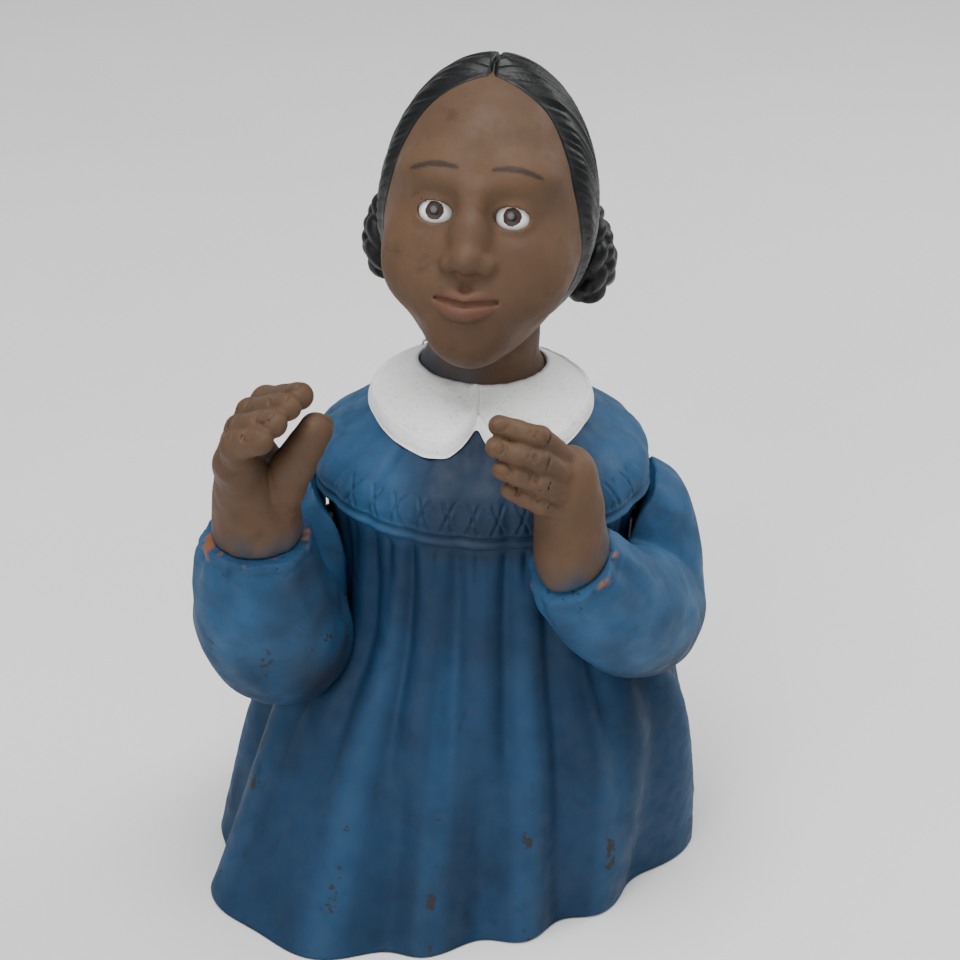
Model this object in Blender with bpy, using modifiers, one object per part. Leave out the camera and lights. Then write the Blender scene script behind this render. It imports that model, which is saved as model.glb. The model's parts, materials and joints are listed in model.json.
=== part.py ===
"""Mechanical bank: a painted cast-iron half figure of a girl in a smocked dress, with raised hands.

The dress is two hollow castings, held by screws from the back, a collar on top and a base plate below.
A lever behind the left shoulder turns a cross shaft, which lifts both arms. A crank on that shaft swings
a fork in the neck, so the head nods as the hands rise. The eyes hang on a weighted shaft and roll by
themselves. Coins go in through a slot in the back and come out through a twist-lock trap in the base.

Lengths here are in millimetres and each mesh is scaled to metres as it is made. The figure looks along -Y,
+X is its own left hand side, +Z is up, and the origin is on the floor under the neck's front edge. The pose
turns to the figure's right: the hem swings forward on that side, and the arms and the head follow it.
"""

import math

import bmesh
import bpy
import numpy as np
from mathutils import Matrix, Vector

MM = 0.001

# ---- Driving dimensions (millimetres, degrees) ----
WALL = 2.6  # casting thickness of the dress
HEAD_WALL = 2.2
GAP = 0.3  # between pieces that rest on each other
HEM_HALF_WIDTH = 57.0
HEM_HALF_DEPTH = 49.5
PARTING_Y = 14.0  # plane where the two dress castings meet
RING_POINTS = 48

NECK_Y = 2.0  # the neck's axis
HEAD_PIVOT = (NECK_Y, 113.5)  # y, z of the nodding axle
NECK_BALL = 15.25  # the neck's foot is a ball about the nodding axle
COLLAR_LIP = 14.0
HEAD_CENTRE = Vector((0, 0.5, 154.5))
HEAD_TILT = 18.0  # the face looks up by this angle
HEAD_TURN = -16.0  # and to the figure's right by this one
COLLAR_TURN = -9.0
HEAD_SIZE = (22.0, 23.5, 31.6)  # half width, half depth, half height of the face casting
HAIR_PROUD = 0.9
HAIR_SPLIT_Y = -3.5  # plane where the face and hair castings meet
EYE = (8.0, -16.3, 0.5)  # eyeball centre in the head's own frame
EYE_RADIUS = 4.4

SHAFT = (-4.0, 86.0)  # y, z of the arms' cross shaft
SHAFT_RADIUS = 2.4
CRANK_RADIUS = 9.5
ARM_LIFT = 14.0
LEVER_X = 20.0
LEVER_PIVOT = (10.0, 82.0)
LEVER_THICKNESS = 2.8

COIN_SLOT = (12.0, 25.8, 30.2)  # half width, and its front and back in y
CHUTE_Y = 20.0  # front face of the chute
CHUTE_POST_X = 17.4
CHUTE_POST_Z = 68.0

TRAP_Y = 24.0
TRAP_RADIUS = 17.0
PLATE_THICKNESS = 2.4

# Dress outline: height, half width, depth to the front, depth to the back, squareness of the section.
SKIRT = (
    (-4, 57.6, 50.0, 50.0, 2.4),
    (0, HEM_HALF_WIDTH, HEM_HALF_DEPTH, HEM_HALF_DEPTH, 2.4),
    (10, 55.4, 48.0, 47.6, 2.4),
    (22, 53.2, 46.2, 45.2, 2.4),
    (34, 50.4, 44.2, 42.6, 2.4),
    (44, 47.2, 42.0, 39.8, 2.4),
    (52, 42.0, 39.6, 37.2, 2.4),
    (60, 36.4, 37.2, 35.0, 2.3),
    (70, 33.4, 35.2, 33.0, 2.2),
    (82, 33.4, 33.5, 31.7, 2.2),
    (91, 34.8, 33.0, 31.2, 2.2),
)
# The yoke overhangs the arms at the sides, and its border lies lower in front than at the shoulders.
YOKE = (
    (92.0, 35.7, 33.5, 31.8, 2.2),
    (93.2, 37.0, 34.1, 32.6, 2.2),
    (97.0, 37.4, 34.0, 33.0, 2.2),
    (102.0, 35.4, 31.8, 31.5, 2.2),
    (107.0, 30.8, 27.0, 28.2, 2.1),
    (111.5, 25.0, 22.6, 25.4, 2.0),
    (114.3, 21.4, 19.4, 23.4, 2.0),
)
YOKE_RISE = 3.0
# The swinging hem's reach from the axis, by the angle from +X in degrees.
HEM_SWING = (
    *((-200, 55.5), (-180, 58), (-160, 65), (-146, 68.5), (-134, 66.5), (-118, 58), (-100, 50.5)),
    *((-82, 47.5), (-60, 45.5), (-38, 45.5), (-18, 50.5), (0, 56.5), (20, 57.5), (45, 53.5), (70, 50)),
    *((90, 49), (115, 50)),
    *((140, 53.5), (160, 55.5), (180, 58), (200, 65)),
)
HEM_SWING_TOP = 50.0  # the hem's swing has died out at this height
# Crests of the skirt's folds round the hem and round the waist, in degrees from +X.
HEM_CRESTS = (-157, -127, -106, -81, -56, -17, 14, 44, 70, 96, 124, 150, 178)
WAIST_CRESTS = (-162, -145, -129, -114, -94, -78, -62, -44, -22, 2, 24, 48, 70, 92, 112, 134, 156, 178)
COLLAR_THICKNESS = 1.8
# Collar's outer radius about the neck, by the angle from the front in degrees.
COLLAR_EDGE = (
    *((0, 21.9), (5, 25.2), (12, 28.0), (22, 28.8), (40, 27.8), (60, 26.0), (90, 24.6), (135, 23.6)),
    (180, 23.2),
)

# Arms: x, y, z and radius along each sleeve, from the shoulder over the elbow to the cuff.
LEFT_SLEEVE = (
    (36.0, -4, 87, 10.0),
    (37.0, -8, 77, 10.9),
    (35.2, -16, 66.5, 12.6),
    (30.5, -27, 72.5, 12.7),
    (22.5, -37.5, 82, 11.0),
    (14.3, -44.5, 94.5, 8.4),
)
RIGHT_SLEEVE = (
    (-36.0, -4, 87, 10.0),
    (-41.5, -8.5, 76, 11.6),
    (-44.5, -18, 64.5, 14.0),
    (-47.5, -25, 72, 14.2),
    (-50.0, -29, 84, 12.0),
    (-50.3, -31, 95.5, 9.4),
)
# Hands: chains of x, y, z, radius, each chain one finger or one part of the palm.
LEFT_HAND = (
    ((14.1, -44.6, 97.0, 6.3), (13.4, -43.6, 104, 5.8), (13.2, -43.0, 110, 5.4)),
    ((12.6, -44.0, 106, 4.6), (13.2, -44.5, 113, 3.9), (13.5, -42.5, 116.5, 3.2)),
    ((13.2, -46.0, 107.3, 3.2), (6.6, -50.0, 113.5, 2.6), (0.5, -47.6, 114.7, 2.4)),
    ((13.9, -45.6, 110.5, 3.3), (6.2, -50.8, 118.2, 2.8), (-1.3, -47.9, 119.2, 2.5)),
    ((14.1, -44.8, 113.3, 3.3), (5.8, -50.4, 121.8, 2.8), (-2.4, -47.3, 122.8, 2.6)),
    ((13.5, -43.4, 115.5, 3.3), (5.9, -48.4, 124.6, 2.8), (-2.0, -46.0, 126.0, 2.5)),
    ((13.2, -40.5, 103, 4.2), (9.0, -38.2, 110.5, 3.4), (4.0, -39.5, 115.5, 2.9)),
)
RIGHT_HAND = (
    ((-50.2, -30.8, 97.5, 7.8), (-50.7, -30.6, 104, 7.2), (-51.8, -32.0, 110.5, 5.6)),
    ((-49.0, -28.5, 104, 6.4), (-51.4, -26.5, 112, 5.0)),
    ((-51.8, -33.5, 106, 5.2), (-54.0, -38.0, 115.5, 3.6), (-54.2, -39.7, 117, 3.4)),
    ((-54.2, -39.7, 117.0, 3.4), (-54.3, -44.0, 122.6, 3.0), (-49.6, -48.6, 125.8, 2.7)),
    ((-54.6, -35.0, 116.8, 3.6), (-53.4, -39.6, 124.0, 3.2), (-47.0, -46.0, 128.3, 2.9)),
    ((-53.6, -29.6, 116.0, 3.8), (-51.0, -34.6, 125.2, 3.3), (-44.0, -42.6, 130.2, 2.9)),
    ((-51.8, -24.4, 114.5, 3.8), (-47.8, -30.0, 125.6, 3.3), (-41.5, -39.4, 131.2, 2.9)),
    ((-46.6, -32.4, 102.5, 5.0), (-42.8, -36.6, 114.3, 4.4), (-38.4, -40.0, 124.0, 3.5)),
)

CREAM, BLUE, BROWN = (0.78, 0.77, 0.74), (0.03, 0.12, 0.26), (0.19, 0.105, 0.065)
BLACK, STEEL, BRASS, IRON = (0.012, 0.012, 0.013), (0.42, 0.42, 0.43), (0.55, 0.40, 0.16), (0.09, 0.085, 0.08)


# ---- Scene and objects ----
def start_scene():
    for old in list(bpy.data.objects):
        bpy.data.objects.remove(old)
    made = {}
    for name in ("mechanical_bank", "cutters"):
        made[name] = bpy.data.collections.new(name)
        bpy.context.scene.collection.children.link(made[name])
    made["cutters"].hide_render = True
    return made


COLLECTIONS = start_scene()


def material(name, colour, roughness, metallic=0.0):
    found = bpy.data.materials.get(name)
    if found:
        return found
    made = bpy.data.materials.new(name)
    made.use_nodes = True
    shader = made.node_tree.nodes["Principled BSDF"]
    shader.inputs["Base Color"].default_value = (*colour, 1)
    shader.inputs["Roughness"].default_value = roughness
    shader.inputs["Metallic"].default_value = metallic
    return made


def paint(kind):
    """The material of each kind of piece."""
    looks = {
        "dress_blue": (BLUE, 0.42, 0.0),
        "collar_white": (CREAM, 0.6, 0.0),
        "skin_brown": (BROWN, 0.5, 0.0),
        "hair_black": (BLACK, 0.35, 0.0),
        "eye_white": ((0.8, 0.8, 0.78), 0.25, 0.0),
        "steel": (STEEL, 0.35, 1.0),
        "brass": (BRASS, 0.4, 1.0),
        "iron_black": (IRON, 0.55, 0.6),
    }
    return material(kind, *looks[kind])


def add_object(name, bm, kind=None, origin=(0, 0, 0), is_open=False):
    """Turns a bmesh in millimetres into an object in metres. With no kind it is a cutter."""
    bmesh.ops.translate(bm, verts=bm.verts, vec=-Vector(origin))
    bmesh.ops.scale(bm, verts=bm.verts, vec=(MM, MM, MM))
    if not is_open:
        bmesh.ops.recalc_face_normals(bm, faces=bm.faces)
    mesh = bpy.data.meshes.new(name)
    bm.to_mesh(mesh)
    bm.free()
    obj = bpy.data.objects.new(name, mesh)
    obj.location = Vector(origin) * MM
    if kind is None:
        COLLECTIONS["cutters"].objects.link(obj)
        obj.hide_render = True
        obj.display_type = "WIRE"
    else:
        COLLECTIONS["mechanical_bank"].objects.link(obj)
        mesh.materials.append(paint(kind))
        mesh.shade_smooth()
        mesh.set_sharp_from_angle(angle=math.radians(35))
    return obj


def combine(obj, other, operation="DIFFERENCE"):
    modifier = obj.modifiers.new(f"{operation.lower()} {other.name}", "BOOLEAN")
    modifier.operation = operation
    modifier.object = other
    return obj


def cut(obj, *cutters):
    for cutter in cutters:
        combine(obj, cutter)
    return obj


# ---- Shapes ----
def box(low, high):
    bm = bmesh.new()
    bmesh.ops.create_cube(bm, size=1)
    low, high = Vector(low), Vector(high)
    bmesh.ops.scale(bm, verts=bm.verts, vec=high - low)
    bmesh.ops.translate(bm, verts=bm.verts, vec=(low + high) / 2)
    return bm


def rod(start, end, radius, end_radius=None, sides=24):
    """A cylinder or cone from one point to another."""
    start, end = Vector(start), Vector(end)
    along = end - start
    turn = along.to_track_quat("Z", "Y").to_matrix().to_4x4()
    bm = bmesh.new()
    bmesh.ops.create_cone(
        bm,
        cap_ends=True,
        segments=sides,
        radius1=radius,
        radius2=radius if end_radius is None else end_radius,
        depth=along.length,
        matrix=Matrix.Translation((start + end) / 2) @ turn,
    )
    return bm


def ball(centre, radius, segments=16, rings=10):
    bm = bmesh.new()
    bmesh.ops.create_uvsphere(
        bm, u_segments=segments, v_segments=rings, radius=radius, matrix=Matrix.Translation(centre)
    )
    return bm


def joined(*shapes):
    """Several bmeshes in one, each still its own closed body."""
    whole = bmesh.new()
    for shape in shapes:
        mesh = bpy.data.meshes.new("part of a shape")
        shape.to_mesh(mesh)
        shape.free()
        whole.from_mesh(mesh)
        bpy.data.meshes.remove(mesh)
    return whole


def turned(name, profile, kind=None, centre=(0, 0), sides=40):
    """A closed outline of radius and height, turned about a vertical axis with a Screw modifier."""
    mesh = bpy.data.meshes.new(name)
    points = [(radius * MM, 0, height * MM) for radius, height in profile]
    mesh.from_pydata(points, [(i, (i + 1) % len(points)) for i in range(len(points))], [])
    obj = bpy.data.objects.new(name, mesh)
    obj.location = (centre[0] * MM, centre[1] * MM, 0)
    screw = obj.modifiers.new("turn", "SCREW")
    screw.steps = screw.render_steps = sides
    screw.merge_threshold = 0.00001
    screw.use_merge_vertices = True
    screw.use_normal_calculate = True
    if kind is None:
        COLLECTIONS["cutters"].objects.link(obj)
        obj.hide_render = True
        obj.display_type = "WIRE"
    else:
        COLLECTIONS["mechanical_bank"].objects.link(obj)
        mesh.materials.append(paint(kind))
    return obj


def arc(centre, radius, start, end, count=9):
    """Points of an arc, angles in degrees."""
    angles = np.radians(np.linspace(start, end, count))
    return [(centre[0] + radius * math.cos(a), centre[1] + radius * math.sin(a)) for a in angles]


def plate(name, outline, x, thickness, kind=None, holes=()):
    """A flat plate standing in a plane across X. The outline and the holes' outlines are in y and z."""
    curve = bpy.data.curves.new(name, "CURVE")
    curve.dimensions = "2D"
    curve.fill_mode = "BOTH"
    curve.extrude = thickness / 2 * MM
    for points in (outline, *holes):
        spline = curve.splines.new("POLY")
        spline.points.add(len(points) - 1)
        for point, (y, z) in zip(spline.points, points):
            point.co = (y * MM, z * MM, 0, 1)
        spline.use_cyclic_u = True
    flat = bpy.data.objects.new(name, curve)
    flat.matrix_world = Matrix(((0, 0, 1, x * MM), (1, 0, 0, 0), (0, 1, 0, 0), (0, 0, 0, 1)))
    bpy.context.scene.collection.objects.link(flat)
    bpy.context.view_layer.update()
    mesh = bpy.data.meshes.new_from_object(flat.evaluated_get(bpy.context.evaluated_depsgraph_get()))
    bm = bmesh.new()
    bm.from_mesh(mesh)
    bmesh.ops.remove_doubles(bm, verts=bm.verts, dist=0.000001)
    bm.transform(flat.matrix_world)
    bmesh.ops.scale(bm, verts=bm.verts, vec=(1 / MM,) * 3)
    bpy.data.objects.remove(flat)
    bpy.data.meshes.remove(mesh)
    return add_object(name, bm, kind)


def smooth_through(stations, count):
    """Rows between the stations, on a monotone cubic through each column, count rows for each step."""
    rows = np.array(stations, float)
    steps = np.diff(rows, axis=0)
    slope = np.zeros_like(rows)
    slope[0], slope[-1] = steps[0], steps[-1]
    same_way = steps[:-1] * steps[1:] > 0
    total = np.where(same_way, steps[:-1] + steps[1:], 1)
    slope[1:-1] = np.where(same_way, 2 * steps[:-1] * steps[1:] / total, 0)
    made = []
    for i in range(len(rows) - 1):
        for t in np.arange(count) / count:
            rise = t * t * (3 - 2 * t)
            made.append(
                rows[i] * (1 - rise)
                + rows[i + 1] * rise
                + slope[i] * (t**3 - 2 * t * t + t)
                + slope[i + 1] * (t**3 - t * t)
            )
    made.append(rows[-1])
    return np.array(made)


def section_radius(angle, half_width, front, back, squareness):
    """Distance from the axis to the dress in the direction of angle, from a squared-off ellipse."""
    depth = np.where(np.sin(angle) < 0, front, back)
    sides = (np.abs(np.cos(angle)) / half_width) ** squareness
    return (sides + (np.abs(np.sin(angle)) / depth) ** squareness) ** (-1 / squareness)


def crest_wave(angle, crests):
    """A wave round the dress with its crests at the given angles."""
    degrees = (np.degrees(angle) + 180) % 360 - 180
    stops = np.array((crests[-1] - 360, *crests, crests[0] + 360), float)
    return np.cos(2 * math.pi * np.interp(degrees, stops, np.arange(len(stops))))


def fold_wave(angle, height):
    """The skirt's folds: broad at the hem, and narrower and shallower from the waist up to the yoke."""
    low_depth = np.interp(height, (0, 30, 55), (1.7, 1.2, 0))
    high_depth = np.interp(height, (15, 45, 75, 90), (0, 0.8, 0.6, 0))
    return low_depth * crest_wave(angle, HEM_CRESTS) + high_depth * crest_wave(angle, WAIST_CRESTS)


def hem_swing(angles, height):
    """How much the hem's swing changes the reach of the skirt, as a factor."""
    degrees, reach = np.array(HEM_SWING, float).T
    plain = section_radius(np.radians(degrees), *SKIRT[1][1:])
    factor = np.interp((np.degrees(angles) + 180) % 360 - 180, degrees, reach / plain)
    share = max(0.0, 1 - max(height, 0) / HEM_SWING_TOP) ** 1.5
    return 1 + (factor - 1) * share


def dress_ring(row, inset=0.0, angles=None):
    """x, y and z round the dress at one row of its outline, or at some angles only."""
    height, half_width, front, back, squareness = row
    if angles is None:
        angles = np.linspace(0, 2 * math.pi, RING_POINTS, endpoint=False)
    radius = section_radius(angles, half_width, front, back, squareness) * hem_swing(angles, height)
    radius = radius + fold_wave(angles, height) - inset
    rise = YOKE_RISE * np.cos(angles) ** 2 * np.interp(height, (86, 93, 100, 109), (0, 1, 1, 0))
    return np.column_stack((radius * np.cos(angles), radius * np.sin(angles), height + rise))


def dress_rings(inset=0.0):
    return [dress_ring(row, inset) for row in SKIRT + YOKE]


def loft(rings, closed_ends=False):
    """A surface through rings of equally many points."""
    bm = bmesh.new()
    rows = [[bm.verts.new(point) for point in ring] for ring in rings]
    around = len(rows[0])
    for low, high in zip(rows, rows[1:]):
        for i in range(around):
            j = (i + 1) % around
            bm.faces.new((low[i], low[j], high[j], high[i]))
    if closed_ends:
        bm.faces.new(rows[0][::-1])
        bm.faces.new(rows[-1])
    return bm


# ---- Dress castings ----
def grown_dress(name, clearance, turn=0.0):
    """A closed cutter in the shape of the dress, larger by the clearance and turned back about the shaft."""
    rings = dress_rings(-clearance)
    for ring in rings[len(SKIRT) :]:
        ring[:, 2] += clearance
    rings[len(SKIRT)][:, 2] -= 2 * clearance
    bm = loft(rings, closed_ends=True)
    centre = Vector((0, *SHAFT))
    bmesh.ops.rotate(bm, verts=bm.verts, cent=centre, matrix=Matrix.Rotation(math.radians(turn), 3, "X"))
    return add_object(name, bm)


def wall_at_parting(side, height):
    """How far out the dress is at the parting plane, on one side."""
    row = SKIRT[1] if height == 0 else [r for r in SKIRT if r[0] <= height][-1]
    ring = dress_ring(row, angles=np.linspace(-math.pi, math.pi, 361))
    ring = ring[ring[:, 0] * side > 0]
    return ring[np.argmin(np.abs(ring[:, 1] - PARTING_Y)), 0]


BASE_SCREW_ANGLES = {"front_right": -136, "front_left": -46, "back_right": 138, "back_left": 38}
BODY_SCREW_Z = 30.0
BODY_SCREWS = {
    "right": wall_at_parting(-1, BODY_SCREW_Z) + 7.4,
    "left": wall_at_parting(1, BODY_SCREW_Z) - 7.4,
}


def base_screw_place(place, inset=8.6):
    """x and y of a base screw, just inside the hem."""
    x, y, _ = dress_ring(SKIRT[1], inset, np.radians([BASE_SCREW_ANGLES[place]]))[0]
    return x, y


def dress_half(name, front, envelope):
    """One of the two dress castings: the lofted wall, cut at the parting plane and flat on the floor."""
    half = add_object(name, loft(dress_rings()), "dress_blue", is_open=True)
    shell = half.modifiers.new("casting wall", "SOLIDIFY")
    shell.thickness = WALL * MM
    shell.offset = -1
    shell.use_even_offset = True
    y_low, y_high = (-90, PARTING_Y - GAP / 2) if front else (PARTING_Y + GAP / 2, 90)
    combine(half, add_object(f"keep {name}", box((-90, y_low, 0), (90, y_high, 130))), "INTERSECT")
    for side, x in BODY_SCREWS.items():
        y_low, y_high = (-3, PARTING_Y - GAP / 2) if front else (PARTING_Y + GAP / 2, 40)
        boss = add_object(
            f"{side} boss {name}", rod((x, y_low, BODY_SCREW_Z), (x, y_high, BODY_SCREW_Z), 4.8, sides=20)
        )
        combine(half, combine(boss, envelope, "INTERSECT"), "UNION")
    for place in BASE_SCREW_ANGLES:
        if place.startswith("front") == front:
            # The hem curves in on the front left, so that boss needs a second one to reach the wall.
            inner, outer = (8.6, 2.7, 20.0), (4.0, 3.5, 18.5)
            for inset, low, high in (inner, outer) if place == "front_left" else (inner,):
                x, y = base_screw_place(place, inset)
                boss = rod((x, y, low), (x, y, high), 4.6, sides=16)
                boss = add_object(f"{place} boss {inset}", boss)
                combine(half, combine(boss, envelope, "INTERSECT"), "UNION")
    return half


def dress():
    envelope = grown_dress("dress envelope", -0.8)
    front, back = dress_half("front_shell", True, envelope), dress_half("back_shell", False, envelope)
    y, z = LEVER_PIVOT
    for side in (-1, 1):
        near, far = LEVER_X + side * 1.8, LEVER_X + side * 3.6
        lug = box((min(near, far), y - 3.6, z - 3.6), (max(near, far), 30.0, z + 3.6))
        lug = combine(add_object(f"lever lug {side}", lug), envelope, "INTERSECT")
        combine(back, lug, "UNION")
    lever_slot = box((LEVER_X - 1.75, y + 6, z - 8), (LEVER_X + 1.75, 40, z + 6.6))
    pin_hole = rod((LEVER_X - 8, y, z), (LEVER_X + 8, y, z), 1.25)
    for side in (-1, 1):
        x, z_post = side * CHUTE_POST_X, CHUTE_POST_Z
        post = rod((x, CHUTE_Y + 1.3, z_post), (x, 33, z_post), 2.8, sides=16)
        post = add_object(f"chute post {side}", post)
        combine(back, combine(post, envelope, "INTERSECT"), "UNION")
        hole = rod((x, 15, z_post), (x, 27.2, z_post), 1.15, sides=12)
        cut(back, add_object(f"chute post hole {side}", hole))
    coin_slot = box((-COIN_SLOT[0], COIN_SLOT[1], 97.5), (COIN_SLOT[0], COIN_SLOT[2], 130))
    cut(back, add_object("lever slot", lever_slot), add_object("lever pin hole", pin_hole))
    cut(back, add_object("coin slot", coin_slot))
    shaft_hole = rod((-45, *SHAFT), (45, *SHAFT), SHAFT_RADIUS + 0.3, sides=28)
    cut(front, add_object("arm shaft hole", shaft_hole))
    for side, x in BODY_SCREWS.items():
        tapped = rod((x, -1, BODY_SCREW_Z), (x, 30, BODY_SCREW_Z), 1.8, sides=16)
        sunk = rod((x, 21.5, BODY_SCREW_Z), (x, 50, BODY_SCREW_Z), 3.5, sides=20)
        hole = add_object(f"{side} body screw hole", tapped)
        cut(front, hole)
        cut(back, hole, add_object(f"{side} body screw head room", sunk))
    for place in BASE_SCREW_ANGLES:
        x, y = base_screw_place(place)
        hole = add_object(f"{place} base screw hole", rod((x, y, 0), (x, y, 12.5), 1.55, sides=16))
        cut(front if place.startswith("front") else back, hole)
    return front, back


def yoke_height(angle, reach):
    """Height of the yoke's outer surface at a distance from the neck's axis, in the direction of angle."""
    rows = np.array(YOKE[2:])
    x, y = reach * math.cos(angle), reach * math.sin(angle) + NECK_Y
    about_hem = math.atan2(y, x)
    radii = section_radius(about_hem, rows[:, 1], rows[:, 2], rows[:, 3], rows[:, 4])
    heights = rows[:, 0] + YOKE_RISE * math.cos(about_hem) ** 2 * np.interp(rows[:, 0], (100, 109), (1, 0))
    return float(np.interp(math.hypot(x, y), radii[::-1], heights[::-1]))


def collar_ring(share, lower):
    """Points round the collar, from the neck at share 0 to the outer edge at share 1."""
    angles = np.linspace(-math.pi, math.pi, 40, endpoint=False)
    edge_degrees, edge_reach = np.array(COLLAR_EDGE).T
    points = []
    for angle in angles:
        from_front = abs((math.degrees(angle) + 90 - COLLAR_TURN + 180) % 360 - 180)
        inner = COLLAR_LIP + (0.75 if lower else 0)
        reach = inner + (float(np.interp(from_front, edge_degrees, edge_reach)) - inner) * share
        on_shell = yoke_height(angle, max(reach, 21.6)) + 0.5
        bottom = on_shell + 0.58 * max(21.6 - reach, 0)
        height = bottom if lower else bottom + COLLAR_THICKNESS
        points.append((reach * math.cos(angle), reach * math.sin(angle) + NECK_Y, height))
    return points


def collar():
    shares = np.linspace(0, 1, 5)
    rings = [collar_ring(s, True) for s in shares] + [collar_ring(s, False) for s in shares[::-1]]
    bm = loft(rings + rings[:1])
    bmesh.ops.remove_doubles(bm, verts=bm.verts, dist=0.0001)
    made = add_object("collar", bm, "collar_white")
    section = ((15.75, 115), (18.5, 115), (18.5, 106.5), (15.75, 106.5))
    ring = turned("neck_ring", section, "iron_black", (0, NECK_Y), 28)
    flange = add_object("neck ring flange", rod((0, NECK_Y, 106.5), (0, NECK_Y, 114), 23.4, sides=28))
    combine(flange, grown_dress("inside of the dress", -WALL - 0.45), "INTERSECT")
    cut(flange, add_object("neck ring bore", rod((0, NECK_Y, 90), (0, NECK_Y, 130), 16.5, sides=28)))
    combine(ring, flange, "UNION")
    y, z = HEAD_PIVOT
    notch = box((-20, y - 1.75, z), (20, y + 1.75, 119))
    cut(ring, add_object("axle notch", notch))
    cut(ring, add_object("axle seat", rod((-20, y, z), (20, y, z), 1.76)))
    for side, angle in (("right", 128), ("left", 52)):
        reach = 17.15
        x, y = reach * math.cos(math.radians(angle)), reach * math.sin(math.radians(angle)) + NECK_Y
        hole = add_object(f"{side} collar screw hole", rod((x, y, 107.5), (x, y, 130), 1.1, sides=16))
        room = add_object(f"{side} collar screw head room", rod((x, y, 117.6), (x, y, 130), 2.1, sides=20))
        cut(made, hole, room)
        cut(ring, hole)
        screw(f"collar_screw_{side}", (x, y, 117.9), (0, 0, -1), 0.8, 8.6, 1.8, 1.1)


def screw(name, seat, way, radius, length, head_radius, head_height):
    """A slotted screw whose head's underside is at seat, and whose shank points along way."""
    seat, way = Vector(seat), Vector(way).normalized()
    made = add_object(name, rod(seat, seat + way * length, radius, sides=10), "steel")
    top = seat - way * head_height
    head = rod(seat + way * 0.05, top, head_radius, head_radius * 0.8, sides=14)
    combine(made, add_object(f"{name} head", head), "UNION")
    across = way.orthogonal().normalized()
    slot = rod(top - across * head_radius * 2, top + across * head_radius * 2, head_radius * 0.17, sides=4)
    return cut(made, add_object(f"{name} slot", slot))


def body_fasteners():
    for side, x in BODY_SCREWS.items():
        screw(f"body_screw_{side}", (x, 21.8, BODY_SCREW_Z), (0, -1, 0), 1.5, 20, 3.1, 2.0)
    for place in BASE_SCREW_ANGLES:
        x, y = base_screw_place(place)
        screw(f"base_screw_{place}", (x, y, 1.3), (0, 0, 1), 1.25, 9.5, 2.6, 1.0)


# ---- Base plate and coin trap ----
def base():
    outline = (dress_ring(SKIRT[1], WALL + 1.5) * 0.7 + dress_ring(SKIRT[2], WALL + 1.5) * 0.3)[:, :2]
    rings = [[(x, y, z) for x, y in outline] for z in (0, PLATE_THICKNESS)]
    made = add_object("base_plate", loft(rings, closed_ends=True), "iron_black")
    centre = (0, TRAP_Y)
    hole = rod((*centre, -1), (*centre, 4), TRAP_RADIUS + GAP, sides=36)
    notches = box((-20.4, TRAP_Y - 4.4, -1), (20.4, TRAP_Y + 4.4, 4))
    cut(made, add_object("trap hole", hole), add_object("trap lug notches", notches))
    for place in BASE_SCREW_ANGLES:
        x, y = base_screw_place(place)
        through = add_object(f"{place} plate hole", rod((x, y, -1), (x, y, 4), 1.6, sides=16))
        room = add_object(f"{place} plate head room", rod((x, y, -1), (x, y, 1.65), 2.9, sides=16))
        cut(made, through, room)


def coin_trap():
    """A round stopper with two lugs above the plate. A bar between two finger pockets turns it."""
    x, y = 0, TRAP_Y
    disc = rod((x, y, 0.2), (x, y, PLATE_THICKNESS), TRAP_RADIUS, sides=36)
    made = add_object("coin_trap", disc, "iron_black", (x, y, 0))
    hub = add_object("trap hub", rod((x, y, 2.0), (x, y, 4.2), 9, sides=32))
    bar = add_object("trap lug bar", box((-3.9, y - 19.6, PLATE_THICKNESS + GAP), (3.9, y + 19.6, 4.2)))
    combine(made, hub, "UNION")
    combine(made, bar, "UNION")
    for side in (-1, 1):
        pocket = rod((0, y, -1), (0, y, 1.4), 12.5, sides=32)
        half = bmesh.ops.bisect_plane(
            pocket,
            geom=pocket.verts[:] + pocket.edges[:] + pocket.faces[:],
            plane_co=(0, y + side * 2.2, 0),
            plane_no=(0, -side, 0),
            clear_outer=True,
        )
        edges = [item for item in half["geom_cut"] if isinstance(item, bmesh.types.BMEdge)]
        bmesh.ops.contextual_create(pocket, geom=edges)
        cut(made, add_object(f"finger pocket {side}", pocket))
    return made


# ---- Lever, shaft and crank ----
def circle(centre, radius, count=20):
    return arc(centre, radius, 0, 360 - 360 / count, count)


def lever():
    y, z = LEVER_PIVOT
    tip = (y - 2.8, z - 18)
    outline = (
        arc((y, z), 3.4, 100, 186, 7)
        + arc(tip, 1.8, 186, 350, 8)
        + [(y + 2.4, z - 3.4), (y + 10, z - 0.4), (y + 28, z + 4.0)]
        + [(y + 29, z + 6.6), (y + 10, z + 3.6)]
    )
    made = plate("press_lever", outline, LEVER_X, LEVER_THICKNESS, "iron_black", [circle((y, z), 1.25)])
    pad = rod((LEVER_X, y + 27, z + 4.2), (LEVER_X, y + 26.4, z + 7.6), 5.6, 5.0, sides=28)
    combine(made, add_object("thumb pad", pad), "UNION")
    add_object("lever_pin", rod((LEVER_X - 4.3, y, z), (LEVER_X + 4.3, y, z), 1.05), "steel")


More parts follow.
